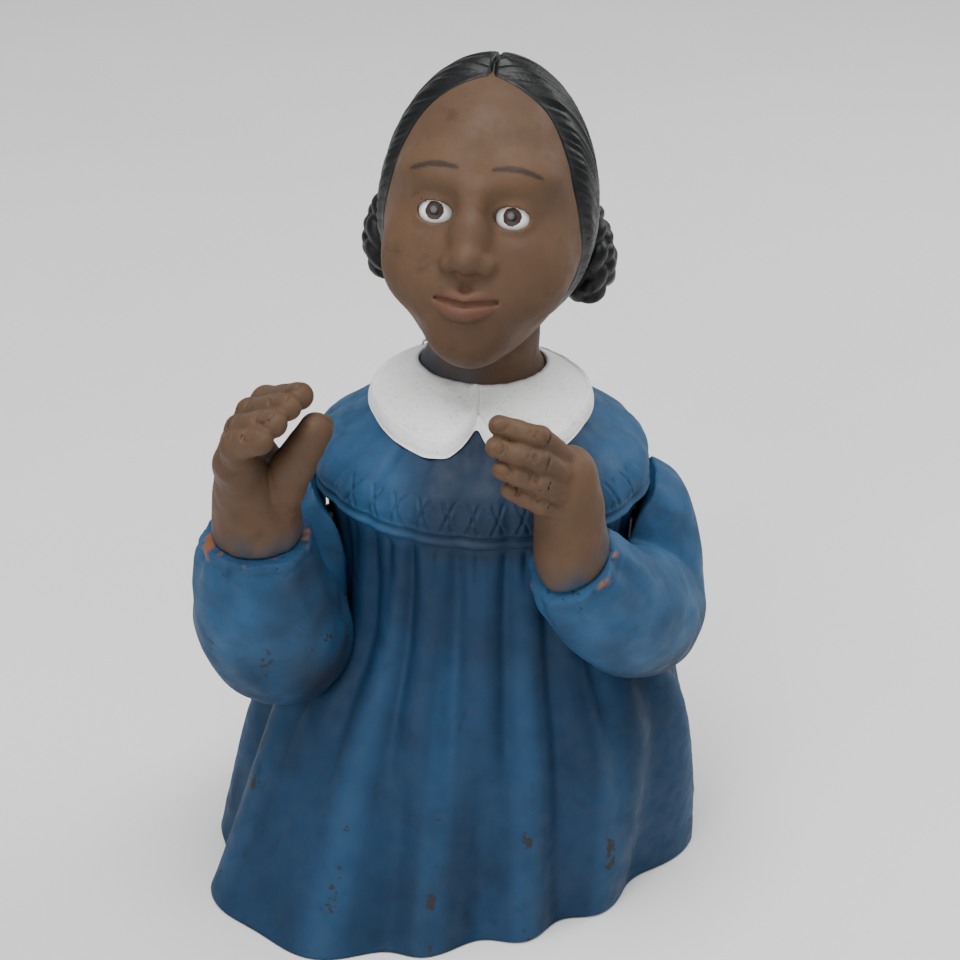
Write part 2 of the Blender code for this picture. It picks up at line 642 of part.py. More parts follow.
def arm_shaft():
    y, z = SHAFT
    shaft = add_object("arm_shaft", rod((-41, y, z), (41, y, z), SHAFT_RADIUS, sides=28), "steel")
    bore = circle((y, z), SHAFT_RADIUS + 0.15, 28)
    toe = (y + 7, z - 21.5)
    finger = arc((y, z), 4.7, -30, 225, 18) + arc(toe, 1.9, 195, 375, 8)
    plate("lever_finger", finger, LEVER_X, LEVER_THICKNESS, "iron_black", [bore])
    top = (y, z + CRANK_RADIUS)
    crank = arc((y, z), 4.7, 145, 395, 18) + arc(top, 2.4, 0, 180, 9)
    plate("nod_crank", crank, -4.05, 2.3, "iron_black", [bore, circle(top, 1.35, 16)])
    add_object("crank_pin", rod((-5.4, *top), (2.6, *top), 1.2, sides=16), "steel")
    return shaft


def neck():
    y, z = HEAD_PIVOT
    ball_part = [(math.sqrt(NECK_BALL**2 - h * h), z + h) for h in (8.3, 6.6, 4.6, 2.3, 0.0, -2.5, -5.0)]
    profile = [(10.2, 138.0), (12.4, 138.0), (12.3, z + 9.6), *ball_part, (10.2, z - 5)]
    tube = turned("neck_tube", profile, "skin_brown", (0, NECK_Y), sides=24)
    cut(tube, add_object("neck axle hole", rod((-20, y, z), (20, y, z), 1.65)))
    add_object("neck_axle", rod((-18.0, y, z), (18.0, y, z), 1.5), "steel")
    pin = Vector((SHAFT[0] - y, SHAFT[1] + CRANK_RADIUS - z)).normalized()
    across = Vector((-pin.y, pin.x))
    start = math.degrees(math.atan2(pin.y, pin.x))

    def at(along, aside):
        point = Vector((y, z)) + pin * along + across * aside
        return (point.x, point.y)

    outline = arc((y, z), 4.2, start + 48, start + 312, 14)
    outline += [at(23.0, -3.2), at(23.0, -1.5), at(15.2, -1.5), at(14.4, 0), at(15.2, 1.5), at(23.0, 1.5)]
    outline += [at(23.0, 3.2)]
    plate("nod_fork", outline, 0, 4.8, "iron_black", [circle((y, z), 1.65)])


# ---- Arms and hands ----
def along_chain(chain, spacing):
    """Ball centres and radii along straight runs between the chain's points."""
    made = []
    for a, b in zip(chain, chain[1:]):
        a, b = np.array(a, float), np.array(b, float)
        steps = max(1, int(np.linalg.norm(b[:3] - a[:3]) / spacing))
        made += [a + (b - a) * i / steps for i in range(steps)]
    made.append(np.array(chain[-1], float))
    return made


def moulded(name, chains, kind, spacing, voxel, share):
    """Balls strung along the chains, melted into one smooth body."""
    balls = [ball(row[:3], row[3], 14, 9) for chain in chains for row in along_chain(chain, spacing)]
    made = add_object(name, joined(*balls), kind)
    melt = made.modifiers.new("melt together", "REMESH")
    melt.mode = "VOXEL"
    melt.voxel_size = voxel * MM
    smooth = made.modifiers.new("soften", "SMOOTH")
    smooth.factor = 0.6
    smooth.iterations = 3
    thin = made.modifiers.new("thin out", "DECIMATE")
    thin.ratio = share
    return made


def forearm_axis(sleeve):
    end, before = Vector(sleeve[-1][:3]), Vector(sleeve[-2][:3])
    return end, (end - before).normalized()


def arm(side, sleeve, hand_chains, dress_cutters):
    end, way = forearm_axis(sleeve)
    body = moulded(f"{side}_sleeve", [smooth_through(sleeve, 4)], "dress_blue", 2.5, 1.6, 0.032)
    mouth = end + way * 0.4
    cuff = add_object(f"{side} cuff cut", rod(mouth, mouth + way * 30, 30))
    socket = add_object(f"{side} socket", rod(end - way * 9, end + way * 5, 4.4, sides=20))
    cut(body, cuff, socket, *dress_cutters)
    y, z = SHAFT
    reach = 41.4 if side == "left" else -41.4
    bore = rod((reach / 3, y, z), (reach, y, z), SHAFT_RADIUS + 0.15, sides=28)
    bore = add_object(f"{side} shaft bore", bore)
    pin_x = 38.5 if side == "left" else -38.5
    pin_hole = add_object(f"{side} arm pin hole", rod((pin_x, y - 6, z), (pin_x, y + 14, z), 0.95, sides=14))
    cut(body, bore, pin_hole)
    cut(bpy.data.objects["arm_shaft"], pin_hole)
    add_object(f"arm_pin_{side}", rod((pin_x, y - 5.6, z), (pin_x, y + 7.6, z), 0.8, sides=14), "steel")

    hand = moulded(f"{side}_hand", hand_chains, "skin_brown", 1.2, 0.85, 0.045)
    wrist = end + way * 0.75
    trim = add_object(f"{side} wrist trim", rod(wrist - way * 12, wrist, 14))
    cut(hand, trim)
    peg = add_object(f"{side} hand peg", rod(end - way * 8.4, end + way * 4, 4.1, sides=20))
    combine(hand, peg, "UNION")
    across = way.orthogonal().normalized()
    cross = end - way * 4.5
    drill = rod(cross - across * 7.4, cross + across * 30, 0.85, sides=14)
    drill = add_object(f"{side} hand pin hole", drill)
    cut(hand, drill)
    cut(body, drill)
    add_object(f"hand_pin_{side}", rod(cross - across * 6.9, cross + across * 6.9, 0.7, sides=14), "steel")


# ---- Head ----
def to_world(point):
    """From the head's own frame, y to its back and z to its crown, to the figure's."""
    turned_head = Matrix.Rotation(math.radians(HEAD_TURN), 3, "Z")
    return HEAD_CENTRE + turned_head @ Matrix.Rotation(math.radians(-HEAD_TILT), 3, "X") @ Vector(point)


def turned_with_head(bm):
    """Moves a shape from the upright head's frame to the figure's."""
    bm.transform(Matrix.Translation(HEAD_CENTRE) @ Matrix.Rotation(math.radians(HEAD_TURN), 4, "Z"))
    return bm


def head_surface(grow=0.0, segments=24, rings=14):
    """An egg: narrower to the jaw, forward to the chin, and drawn in at the nape."""
    bm = ball((0, 0, 0), 1, segments, rings)
    half_width, half_depth, half_height = HEAD_SIZE
    for vert in bm.verts:
        x, y, z = vert.co
        low = max(0.0, -z)
        wide = (half_width + grow) * x * (1 - 0.25 * low**1.9)
        deep = (half_depth + grow) * y * (1 - (0.42 if y > 0 else 0.12) * low**1.5)
        vert.co = to_world((wide, deep - 8.5 * low**2, (half_height + grow) * z))
    return bm


def head_half(name, kind, grow, wall, keep_front):
    made = add_object(name, head_surface(grow), kind)
    shell = made.modifiers.new("casting wall", "SOLIDIFY")
    shell.thickness = wall * MM
    shell.offset = -1
    y_low, y_high = (-50, HAIR_SPLIT_Y - GAP / 2) if keep_front else (HAIR_SPLIT_Y + GAP / 2, 50)
    keep = turned_with_head(box((-40, y_low, -60), (40, y_high, 60)))
    combine(made, add_object(f"keep {name}", keep), "INTERSECT")
    neck_room = rod((0, NECK_Y, 100), (0, NECK_Y, 139), 12.75, sides=32)
    return cut(made, add_object(f"neck room in {name}", neck_room))


def eyes(face):
    x, y, z = EYE
    for side, sign in (("left", 1), ("right", -1)):
        centre = to_world((sign * x, y, z))
        cut(face, add_object(f"{side} eye socket", ball(centre, EYE_RADIUS + 0.5, 14, 10)))
        eye = add_object(f"{side}_eye", ball(centre, EYE_RADIUS, 14, 9), "eye_white")
        bore = rod(to_world((sign * x - 9, y, z)), to_world((sign * x + 9, y, z)), 1.0, sides=16)
        cut(eye, add_object(f"{side} eye bore", bore))

    def across(reach, radius):
        return rod(to_world((-reach, y, z)), to_world((reach, y, z)), radius, sides=16)

    cut(face, add_object("eye shaft holes", across(x + 5.4, 1.15)))
    add_object("eye_shaft", across(x + 5.1, 0.85), "steel")
    middle = to_world((0, y, z))
    bob = joined(across(3, 3.2))
    bmesh.ops.translate(bob, verts=bob.verts, vec=(0, 0, -11))
    weight = add_object("eye_weight", bob, "brass", middle)
    hanger = rod(middle + Vector((0, 0, 2.4)), middle - Vector((0, 0, 11)), 1.9, sides=12)
    combine(weight, add_object("eye weight hanger", hanger), "UNION")
    cut(weight, add_object("eye weight bore", across(4, 1.0)))


def buns():
    envelope = add_object("head envelope", head_surface(HAIR_PROUD + 0.35))
    neck_clear = add_object("neck envelope", rod((0, NECK_Y, 100), (0, NECK_Y, 139), 13.1, sides=44))
    for side, sign in (("left", 1), ("right", -1)):
        bm = ball((0, 0, 0), 1, 16, 10)
        bmesh.ops.scale(bm, verts=bm.verts, vec=(7.3, 10.5, 13.5))
        turn = Matrix.Rotation(math.radians(sign * 14), 3, "Z")
        bmesh.ops.rotate(bm, verts=bm.verts, matrix=turn)
        bmesh.ops.translate(bm, verts=bm.verts, vec=(sign * 20.2, 11.0, -12.0))
        cut(add_object(f"{side}_bun", turned_with_head(bm), "hair_black"), envelope, neck_clear)


def head():
    face = head_half("face_shell", "skin_brown", 0.0, HEAD_WALL, True)
    head_half("hair_shell", "hair_black", HAIR_PROUD, HEAD_WALL + HAIR_PROUD, False)
    eyes(face)
    buns()


# ---- Coin chute ----
def coin_chute():
    """A bent sheet channel with two ears, which keeps falling coins off the mechanism."""
    made = add_object("coin_chute", box((-13.9, CHUTE_Y, 62), (13.9, CHUTE_Y + 4.6, 92)), "steel")
    cut(made, add_object("chute channel", box((-12.9, CHUTE_Y + 1, 50), (12.9, 40, 110))))
    ears = box((-20.4, CHUTE_Y, CHUTE_POST_Z - 3), (20.4, CHUTE_Y + 1, CHUTE_POST_Z + 3))
    combine(made, add_object("chute ears", ears), "UNION")
    for side, sign in (("left", 1), ("right", -1)):
        x, z = sign * CHUTE_POST_X, CHUTE_POST_Z
        cut(made, add_object(f"{side} ear hole", rod((x, 15, z), (x, 25, z), 1.15, sides=12)))
        screw(f"chute_screw_{side}", (x, CHUTE_Y - GAP, z), (0, 1, 0), 0.85, 6.5, 2.0, 1.2)


def main():
    dress()
    collar()
    base()
    coin_trap()
    body_fasteners()
    coin_chute()
    lever()
    arm_shaft()
    neck()
    cutters = [grown_dress(f"dress clearance {turn:.0f}", 0.7, turn) for turn in (0, ARM_LIFT / 2, ARM_LIFT)]
    arm("left", LEFT_SLEEVE, LEFT_HAND, cutters)
    arm("right", RIGHT_SLEEVE, RIGHT_HAND, cutters)
    head()


main()
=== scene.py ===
"""Looks of the mechanical bank: a worn, painted cast-iron half figure of a girl in a smocked dress.

Lengths are in millimetres and meshes are scaled to metres as they are made. The figure looks along -Y, +X is
its own left and +Z is up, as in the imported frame. Curved castings are dense lofts. Hands, sleeves, head, hair
and the braided buns are modelled as clay: rounded shapes melted together on a grid and given a skin.
"""

import json
import math

import bpy
import numpy as np
from mathutils import Matrix, Quaternion, Vector


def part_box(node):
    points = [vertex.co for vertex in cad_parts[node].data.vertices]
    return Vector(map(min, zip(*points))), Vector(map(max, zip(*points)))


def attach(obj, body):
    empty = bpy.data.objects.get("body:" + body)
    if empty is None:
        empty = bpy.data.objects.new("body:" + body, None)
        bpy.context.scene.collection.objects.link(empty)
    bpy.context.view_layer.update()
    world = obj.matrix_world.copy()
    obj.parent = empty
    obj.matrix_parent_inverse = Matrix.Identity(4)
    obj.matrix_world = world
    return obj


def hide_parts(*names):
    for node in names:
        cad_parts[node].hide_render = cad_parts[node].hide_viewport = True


MM = 0.001
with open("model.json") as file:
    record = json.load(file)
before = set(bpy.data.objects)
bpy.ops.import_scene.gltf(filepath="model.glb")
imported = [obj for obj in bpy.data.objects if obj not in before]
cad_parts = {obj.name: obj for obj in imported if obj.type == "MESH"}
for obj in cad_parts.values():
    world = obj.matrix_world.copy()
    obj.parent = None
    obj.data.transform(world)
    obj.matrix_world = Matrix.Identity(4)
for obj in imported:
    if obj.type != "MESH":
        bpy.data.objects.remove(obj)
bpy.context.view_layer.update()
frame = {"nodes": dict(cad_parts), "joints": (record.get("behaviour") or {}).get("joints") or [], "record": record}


def joint_place(name):
    """A joint's position in millimetres."""
    found = next(joint for joint in frame["joints"] if joint["name"] == name)
    return np.array(found["pos_m"], float) / MM


# ---- The figure's dimensions, as in the castings ----
SHAFT = joint_place("arms_raise")
ARM_LIFT = 14.0
ARM_CLEARANCE = 1.1
CUFF_EDGE = 0.4  # the cuff ends this far past its last station, and the hand starts at the gap
CUFF_GAP = 0.7
PIVOT = joint_place("head_nod")
WALL = 2.6
PARTING_Y = 14.0
GAP = 0.3
HEAD_CENTRE = np.array((0, 0.5, 154.5))
HEAD_TILT = 18.0
HEAD_TURN = -16.0
HEAD_SIZE = (22.0, 23.5, 31.6)
EYE = (8.0, -16.3, 0.5)
EYE_RADIUS = 4.4
PUPIL_DEPTH = 0.03
NECK_RADIUS = 12.35
NECK_BALL = 15.25
COLLAR_LIP = 14.0
COLLAR_TURN = -9.0
COLLAR_THICKNESS = 1.8
LEVER_SLOT = {"width": 3.5, "bottom": 74.0, "top": 88.6}
SCREW_ROOM = {"radius": 3.6, "floor": 21.5, "depth": 40.0}

# Dress outline: height, half width, depth to the front, depth to the back, squareness of the section.
OUTLINE = (
    (0, 57.0, 49.5, 49.5, 2.4),
    (10, 55.4, 48.0, 47.6, 2.4),
    (22, 53.2, 46.2, 45.2, 2.4),
    (34, 50.4, 44.2, 42.6, 2.4),
    (44, 47.2, 42.0, 39.8, 2.4),
    (52, 42.0, 39.6, 37.2, 2.4),
    (60, 36.4, 37.2, 35.0, 2.3),
    (70, 33.4, 35.2, 33.0, 2.2),
    (82, 33.4, 33.5, 31.7, 2.2),
    (91, 34.8, 33.0, 31.2, 2.2),
    (92.0, 35.7, 33.5, 31.8, 2.2),
    (93.2, 37.0, 34.1, 32.6, 2.2),
    (97.0, 37.4, 34.0, 33.0, 2.2),
    (102.0, 35.4, 31.8, 31.5, 2.2),
    (107.0, 30.8, 27.0, 28.2, 2.1),
    (111.5, 25.0, 22.6, 25.4, 2.0),
    (114.3, 21.4, 19.4, 23.4, 2.0),
)
YOKE_RISE = 3.0
YOKE_EDGE = 92.6
# The hem's distance from the axis, by the angle in degrees from +X. The swing has died out at the top height.
HEM_SWING_TOP = 50.0
HEM_SWING = (
    *((-200, 55.5), (-180, 58), (-160, 65), (-146, 68.5), (-134, 66.5), (-118, 58), (-100, 50.5)),
    *((-82, 47.5), (-60, 45.5), (-38, 45.5), (-18, 50.5), (0, 56.5), (20, 57.5), (45, 53.5), (70, 50)),
    *((90, 49), (115, 50), (140, 53.5), (160, 55.5), (180, 58), (200, 65)),
)
# Crests of the skirt's folds round the hem and higher up, in degrees from +X.
HEM_CRESTS = (-157, -127, -106, -81, -56, -17, 14, 44, 70, 96, 124, 150, 178)
WAIST_CRESTS = (-162, -145, -129, -114, -94, -78, -62, -44, -22, 2, 24, 48, 70, 92, 112, 134, 156, 178)
# Collar's outer radius about the neck, by the angle from the front in degrees.
COLLAR_EDGE = (
    *((0, 21.9), (5, 25.2), (12, 28.0), (22, 28.8), (40, 27.8), (60, 26.0), (90, 24.6), (135, 23.6)),
    (180, 23.2),
)

# Arms: x, y, z and radius along each sleeve, from the shoulder over the elbow to the cuff.
LEFT_SLEEVE = (
    (36.0, -4, 87, 10.0),
    (37.0, -8, 77, 10.9),
    (35.2, -16, 66.5, 12.6),
    (30.5, -27, 72.5, 12.7),
    (22.5, -37.5, 82, 11.0),
    (14.3, -44.5, 94.5, 8.4),
)
RIGHT_SLEEVE = (
    (-36.0, -4, 87, 10.0),
    (-41.5, -8.5, 76, 11.6),
    (-44.5, -18, 64.5, 14.0),
    (-47.5, -25, 72, 14.2),
    (-50.0, -29, 84, 12.0),
    (-50.3, -31, 95.5, 9.4),
)
# Hands: palms as strands, each finger from its knuckle to its tip, and the way that its nail faces.
LEFT_PALM = (
    ((14.1, -44.6, 94.0, 6.3), (14.1, -44.6, 97.0, 6.3), (13.4, -43.6, 104, 5.8), (13.2, -43.0, 110, 5.4)),
    ((12.6, -44.0, 106, 4.6), (13.2, -44.5, 113, 3.9), (13.5, -42.5, 116.5, 3.2)),
)
LEFT_FINGERS = {
    "little": ((13.2, -46.0, 106.8, 2.8), (6.4, -50.0, 111.3, 2.25), (0.2, -48.0, 113.4, 1.95)),
    "ring": ((13.9, -45.6, 110.2, 2.9), (6.1, -50.8, 116.2, 2.4), (-1.6, -48.2, 118.2, 2.1)),
    "middle": ((14.1, -44.8, 113.3, 3.0), (5.8, -50.4, 121.0, 2.4), (-2.8, -47.6, 122.8, 2.15)),
    "index": ((13.5, -43.4, 116.0, 2.9), (5.9, -48.4, 125.2, 2.35), (-2.3, -46.0, 127.0, 2.05)),
    "thumb": ((13.2, -40.5, 103, 4.2), (9.0, -38.2, 110.5, 3.4), (4.0, -39.5, 115.5, 2.9)),
}
LEFT_NAILS = (*[(0.1, -1, 0.5)] * 4, (0.3, 1, 0.3))
RIGHT_PALM = (
    ((-50.3, -31, 94.5, 7.8), (-50.2, -30.8, 97.5, 7.8), (-50.7, -30.6, 104, 7.2), (-51.8, -32, 110.5, 5.6)),
    ((-49.0, -28.5, 104, 6.4), (-51.4, -26.5, 112, 5.0)),
    ((-51.8, -33.5, 106, 5.2), (-54.0, -38.0, 115.5, 3.6), (-54.2, -39.7, 117, 3.4)),
)
RIGHT_FINGERS = {
    "little": ((-54.2, -39.7, 117.0, 3.4), (-54.3, -44.0, 122.6, 3.0), (-49.6, -48.6, 125.8, 2.7)),
    "ring": ((-54.6, -35.0, 116.8, 3.6), (-53.4, -39.6, 124.0, 3.2), (-47.0, -46.0, 128.3, 2.9)),
    "middle": ((-53.6, -29.6, 116.0, 3.8), (-51.0, -34.6, 125.2, 3.3), (-44.0, -42.6, 130.2, 2.9)),
    "index": ((-51.8, -24.4, 114.5, 3.8), (-47.8, -30.0, 125.6, 3.3), (-41.5, -39.4, 131.2, 2.9)),
    "thumb": ((-46.6, -32.4, 102.5, 5.0), (-42.8, -36.6, 114.3, 4.4), (-38.4, -40.0, 124.0, 3.5)),
}
RIGHT_NAILS = ((-0.4, -0.5, 1), (-0.4, -0.4, 1), (-0.4, -0.3, 1), (-0.3, -0.3, 1), (0.8, 0.6, 0))


# ---- Numbers ----
def smoothstep(value, low, high):
    share = np.clip((value - low) / (high - low), 0, 1)
    return share * share * (3 - 2 * share)


def ridge(value, centre, width):
    """A smooth bump: one at the centre and nought a few widths away."""
    return np.exp(-(((value - centre) / width) ** 2))


def distance_along(point, way, x, y, z):
    """How far places lie from a point in the direction of a way."""
    return (x - point[0]) * way[0] + (y - point[1]) * way[1] + (z - point[2]) * way[2]


def unit(vector):
    return np.array(vector, float) / np.linalg.norm(vector)


def ripple(points, size, seed, waves=7):
    """Soft irregular values between about -1 and 1, with features of about the given size."""
    rng = np.random.default_rng(seed)
    total = 0
    for _ in range(waves):
        way = rng.normal(size=3)
        way *= 2 * math.pi / (size * rng.uniform(0.7, 1.5) * np.linalg.norm(way))
        phase = rng.uniform(0, 2 * math.pi)
        total = total + np.sin(points[0] * way[0] + points[1] * way[1] + points[2] * way[2] + phase)
    return total / math.sqrt(waves)


def smooth_through(stations, count):
    """Rows between the stations, on a monotone cubic through each column, count rows for each step."""
    rows = np.array(stations, float)
    steps = np.diff(rows, axis=0)
    slope = np.zeros_like(rows)
    slope[0], slope[-1] = steps[0], steps[-1]
    same_way = steps[:-1] * steps[1:] > 0
    total = np.where(same_way, steps[:-1] + steps[1:], 1)
    slope[1:-1] = np.where(same_way, 2 * steps[:-1] * steps[1:] / total, 0)
    made = []
    for i in range(len(rows) - 1):
        for t in np.arange(count) / count:
            rise = t * t * (3 - 2 * t)
            made.append(
                rows[i] * (1 - rise)
                + rows[i + 1] * rise
                + slope[i] * (t**3 - 2 * t * t + t)
                + slope[i + 1] * (t**3 - t * t)
            )
    made.append(rows[-1])
    return np.array(made)


# ---- Meshes ----
def make_mesh(name, points, faces, material, **attributes):
    """A mesh object from points in millimetres, with float attributes on its vertices."""
    mesh = bpy.data.meshes.new(name)
    points = np.asarray(points, float)
    faces = faces.tolist() if isinstance(faces, np.ndarray) else faces
    mesh.from_pydata((points * MM).tolist(), [], faces)
    mesh.validate()
    for key, values in attributes.items():
        layer = mesh.attributes.new(key, "FLOAT", "POINT")
        layer.data.foreach_set("value", np.asarray(values, np.float32).ravel())
    mesh.materials.append(material)
    mesh.shade_smooth()
    obj = bpy.data.objects.new(name, mesh)
    bpy.context.scene.collection.objects.link(obj)
    return obj


def woven(near, far, next_near, next_far):
    """Quads between two runs of vertex numbers and the same runs one column on."""
    return np.stack((near, next_near, next_far, far), axis=-1).reshape(-1, 4)


def place(obj, body, slot, *nodes):
    """Says what body a piece rides on and which CAD nodes it replaces; its slot is not used."""
    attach(obj, body)
    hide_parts(*nodes)


def skin(values, low, step):
    """Points and quads of the surface where the grid's values change sign (surface nets)."""
    values[:1], values[-1:] = 1, 1
    values[:, :1], values[:, -1:] = 1, 1
    values[:, :, :1], values[:, :, -1:] = 1, 1
    cells = tuple(n - 1 for n in values.shape)
    quads, spots = [], []
    for axis in range(3):
        ahead = tuple(slice(1, None) if a == axis else slice(None) for a in range(3))
        behind = tuple(slice(0, -1) if a == axis else slice(None) for a in range(3))
        near, far = values[behind], values[ahead]
        where = np.argwhere((near < 0) != (far < 0))
        a, b = near[tuple(where.T)], far[tuple(where.T)]
        spot = where.astype(float)
        spot[:, axis] += a / (a - b)
        u, v = (axis + 1) % 3, (axis + 2) % 3
        corners = []
        for du, dv in ((1, 1), (0, 1), (0, 0), (1, 0)):
            cell = where.copy()
            cell[:, u] -= du
            cell[:, v] -= dv
            corners.append(np.ravel_multi_index(cell.T, cells))
        corners = np.column_stack(corners)
        outward = a > 0
        corners[outward] = corners[outward][:, ::-1]
        quads.append(corners)
        spots.append(np.repeat(spot[:, None, :], 4, axis=1))
    quads = np.concatenate(quads)
    spots = np.concatenate(spots).reshape(-1, 3)
    _, index = np.unique(quads.ravel(), return_inverse=True)
    index = index.ravel()
    count = np.bincount(index)
    points = np.column_stack([np.bincount(index, weights=spots[:, c]) / count for c in range(3)])
    return np.asarray(low) + points * step, index.reshape(-1, 4)


class Clay:
    """A block of space on a grid, where shapes are added and carved before it is given a skin."""

    def __init__(self, low, high, step):
        self.low, self.step = np.array(low, float), step
        counts = [int((b - a) / step) + 2 for a, b in zip(low, high)]
        self.axes = [a + step * np.arange(n, dtype=np.float32) for a, n in zip(self.low, counts)]
        self.values = np.full(counts, 50.0, np.float32)

    def grid(self):
        return np.meshgrid(*self.axes, indexing="ij", sparse=True)

    def window(self, low, high):
        """The part of the grid between two corners: its slices and its coordinates."""
        cuts = []
        for axis, a, b in zip(self.axes, low, high):
            cuts.append(slice(int(np.searchsorted(axis, a)), int(np.searchsorted(axis, b))))
        axes = [axis[part] for axis, part in zip(self.axes, cuts)]
        return tuple(cuts), np.meshgrid(*axes, indexing="ij", sparse=True)

    def melt(self, part, shape, blend, carve):
        """Joins a shape to the clay, or carves it out, with a soft edge as wide as the blend."""
        if shape.size == 0:
            return
        old = self.values[part]
        a, b = (-old, shape) if carve else (old, shape)
        near = np.maximum(blend - np.abs(a - b), 0) / blend
        new = np.minimum(a, b) - near * near * blend / 4
        self.values[part] = -new if carve else new

    def ellipsoid(self, centre, radii, blend=1.0, carve=False, turn=None):
        centre = np.array(centre, float)
        radii = np.broadcast_to(np.array(radii, float), 3)
        margin = max(radii) + blend + 2 * self.step
        part, (x, y, z) = self.window(centre - margin, centre + margin)
        x, y, z = x - centre[0], y - centre[1], z - centre[2]
        if turn is not None:
            inverse = np.array(turn).T
            x, y, z = (row[0] * x + row[1] * y + row[2] * z for row in inverse)
        near = np.sqrt((x / radii[0]) ** 2 + (y / radii[1]) ** 2 + (z / radii[2]) ** 2)
        slope = np.sqrt((x / radii[0] ** 2) ** 2 + (y / radii[1] ** 2) ** 2 + (z / radii[2] ** 2) ** 2)
        self.melt(part, near * (near - 1) / np.maximum(slope, 1e-6), blend, carve)

    def strand(self, stations, blend=1.0, carve=False):
        """Round rods from point to point, each station an x, y, z and radius."""
        rows = np.array(stations, float)
        for a, b in zip(rows, rows[1:]):
            margin = max(a[3], b[3]) + blend + 2 * self.step
            part, (x, y, z) = self.window(np.minimum(a, b)[:3] - margin, np.maximum(a, b)[:3] + margin)
            way = b[:3] - a[:3]
            along = np.clip(distance_along(a, way, x, y, z) / max(way @ way, 1e-9), 0, 1)
            off = (x - a[0] - along * way[0]) ** 2 + (y - a[1] - along * way[1]) ** 2
            off = np.sqrt(off + (z - a[2] - along * way[2]) ** 2)
            self.melt(part, off - (a[3] + (b[3] - a[3]) * along), blend, carve)

    def cut_above(self, point, way):
        """Removes what lies beyond a plane."""
        x, y, z = self.grid()
        self.values = np.maximum(self.values, distance_along(point, way, x, y, z))

    def mesh(self):
        return skin(self.values, self.low, self.step)


# ---- Materials ----
class Shader:
    """A material's nodes, added by short calls."""

    def __init__(self, name):
        self.material = bpy.data.materials.new(name)
        self.material.use_nodes = True
        self.tree = self.material.node_tree
        self.surface = self.tree.nodes["Principled BSDF"]
        self.place = self.add("ShaderNodeTexCoord").outputs["Object"]

    def add(self, kind, inputs=None, **settings):
        node = self.tree.nodes.new(kind)
        for key, value in settings.items():
            setattr(node, key, value)
        for key, value in (inputs or {}).items():
            self.plug(node.inputs[key], value)
        return node

    def plug(self, socket, value):
        if isinstance(value, bpy.types.NodeSocket):
            self.tree.links.new(value, socket)
        elif isinstance(value, tuple) and len(value) == 3 and socket.type == "RGBA":
            socket.default_value = (*value, 1)
        else:
            socket.default_value = value

    def stretched(self, scale):
        """The object's coordinates, stretched so that a pattern runs long in one direction."""
        return self.add("ShaderNodeMapping", {"Vector": self.place, "Scale": scale}).outputs[0]

    def noise(self, scale, detail=4.0, roughness=0.55, distortion=0.0, vector=None):
        inputs = {"Vector": vector or self.place, "Scale": scale, "Detail": detail}
        inputs.update({"Roughness": roughness, "Distortion": distortion})
        return self.add("ShaderNodeTexNoise", inputs).outputs["Fac"]

    def ramp(self, value, low, high, start=0.0, end=1.0):
        inputs = {"Value": value, "From Min": low, "From Max": high, "To Min": start, "To Max": end}
        return self.add("ShaderNodeMapRange", inputs, interpolation_type="SMOOTHSTEP").outputs["Result"]

    def mix(self, share, first, second):
        inputs = {0: share, 6: first, 7: second}
        return self.add("ShaderNodeMix", inputs, data_type="RGBA").outputs[2]

    def math(self, operation, first, second):
        return self.add("ShaderNodeMath", {0: first, 1: second}, operation=operation).outputs[0]

    def attribute(self, name):
        return self.add("ShaderNodeAttribute", attribute_name=name).outputs["Fac"]

    def bump(self, height, distance, strength=0.5, below=None):
        inputs = {"Height": height, "Distance": distance, "Strength": strength}
        if below:
            inputs["Normal"] = below
        return self.add("ShaderNodeBump", inputs).outputs["Normal"]

    def finish(self, **sockets):
        for name, value in sockets.items():
            self.plug(self.surface.inputs[name.replace("_", " ")], value)
        return self.material


IRON = (0.022, 0.023, 0.025)
RUST = (0.19, 0.075, 0.034)


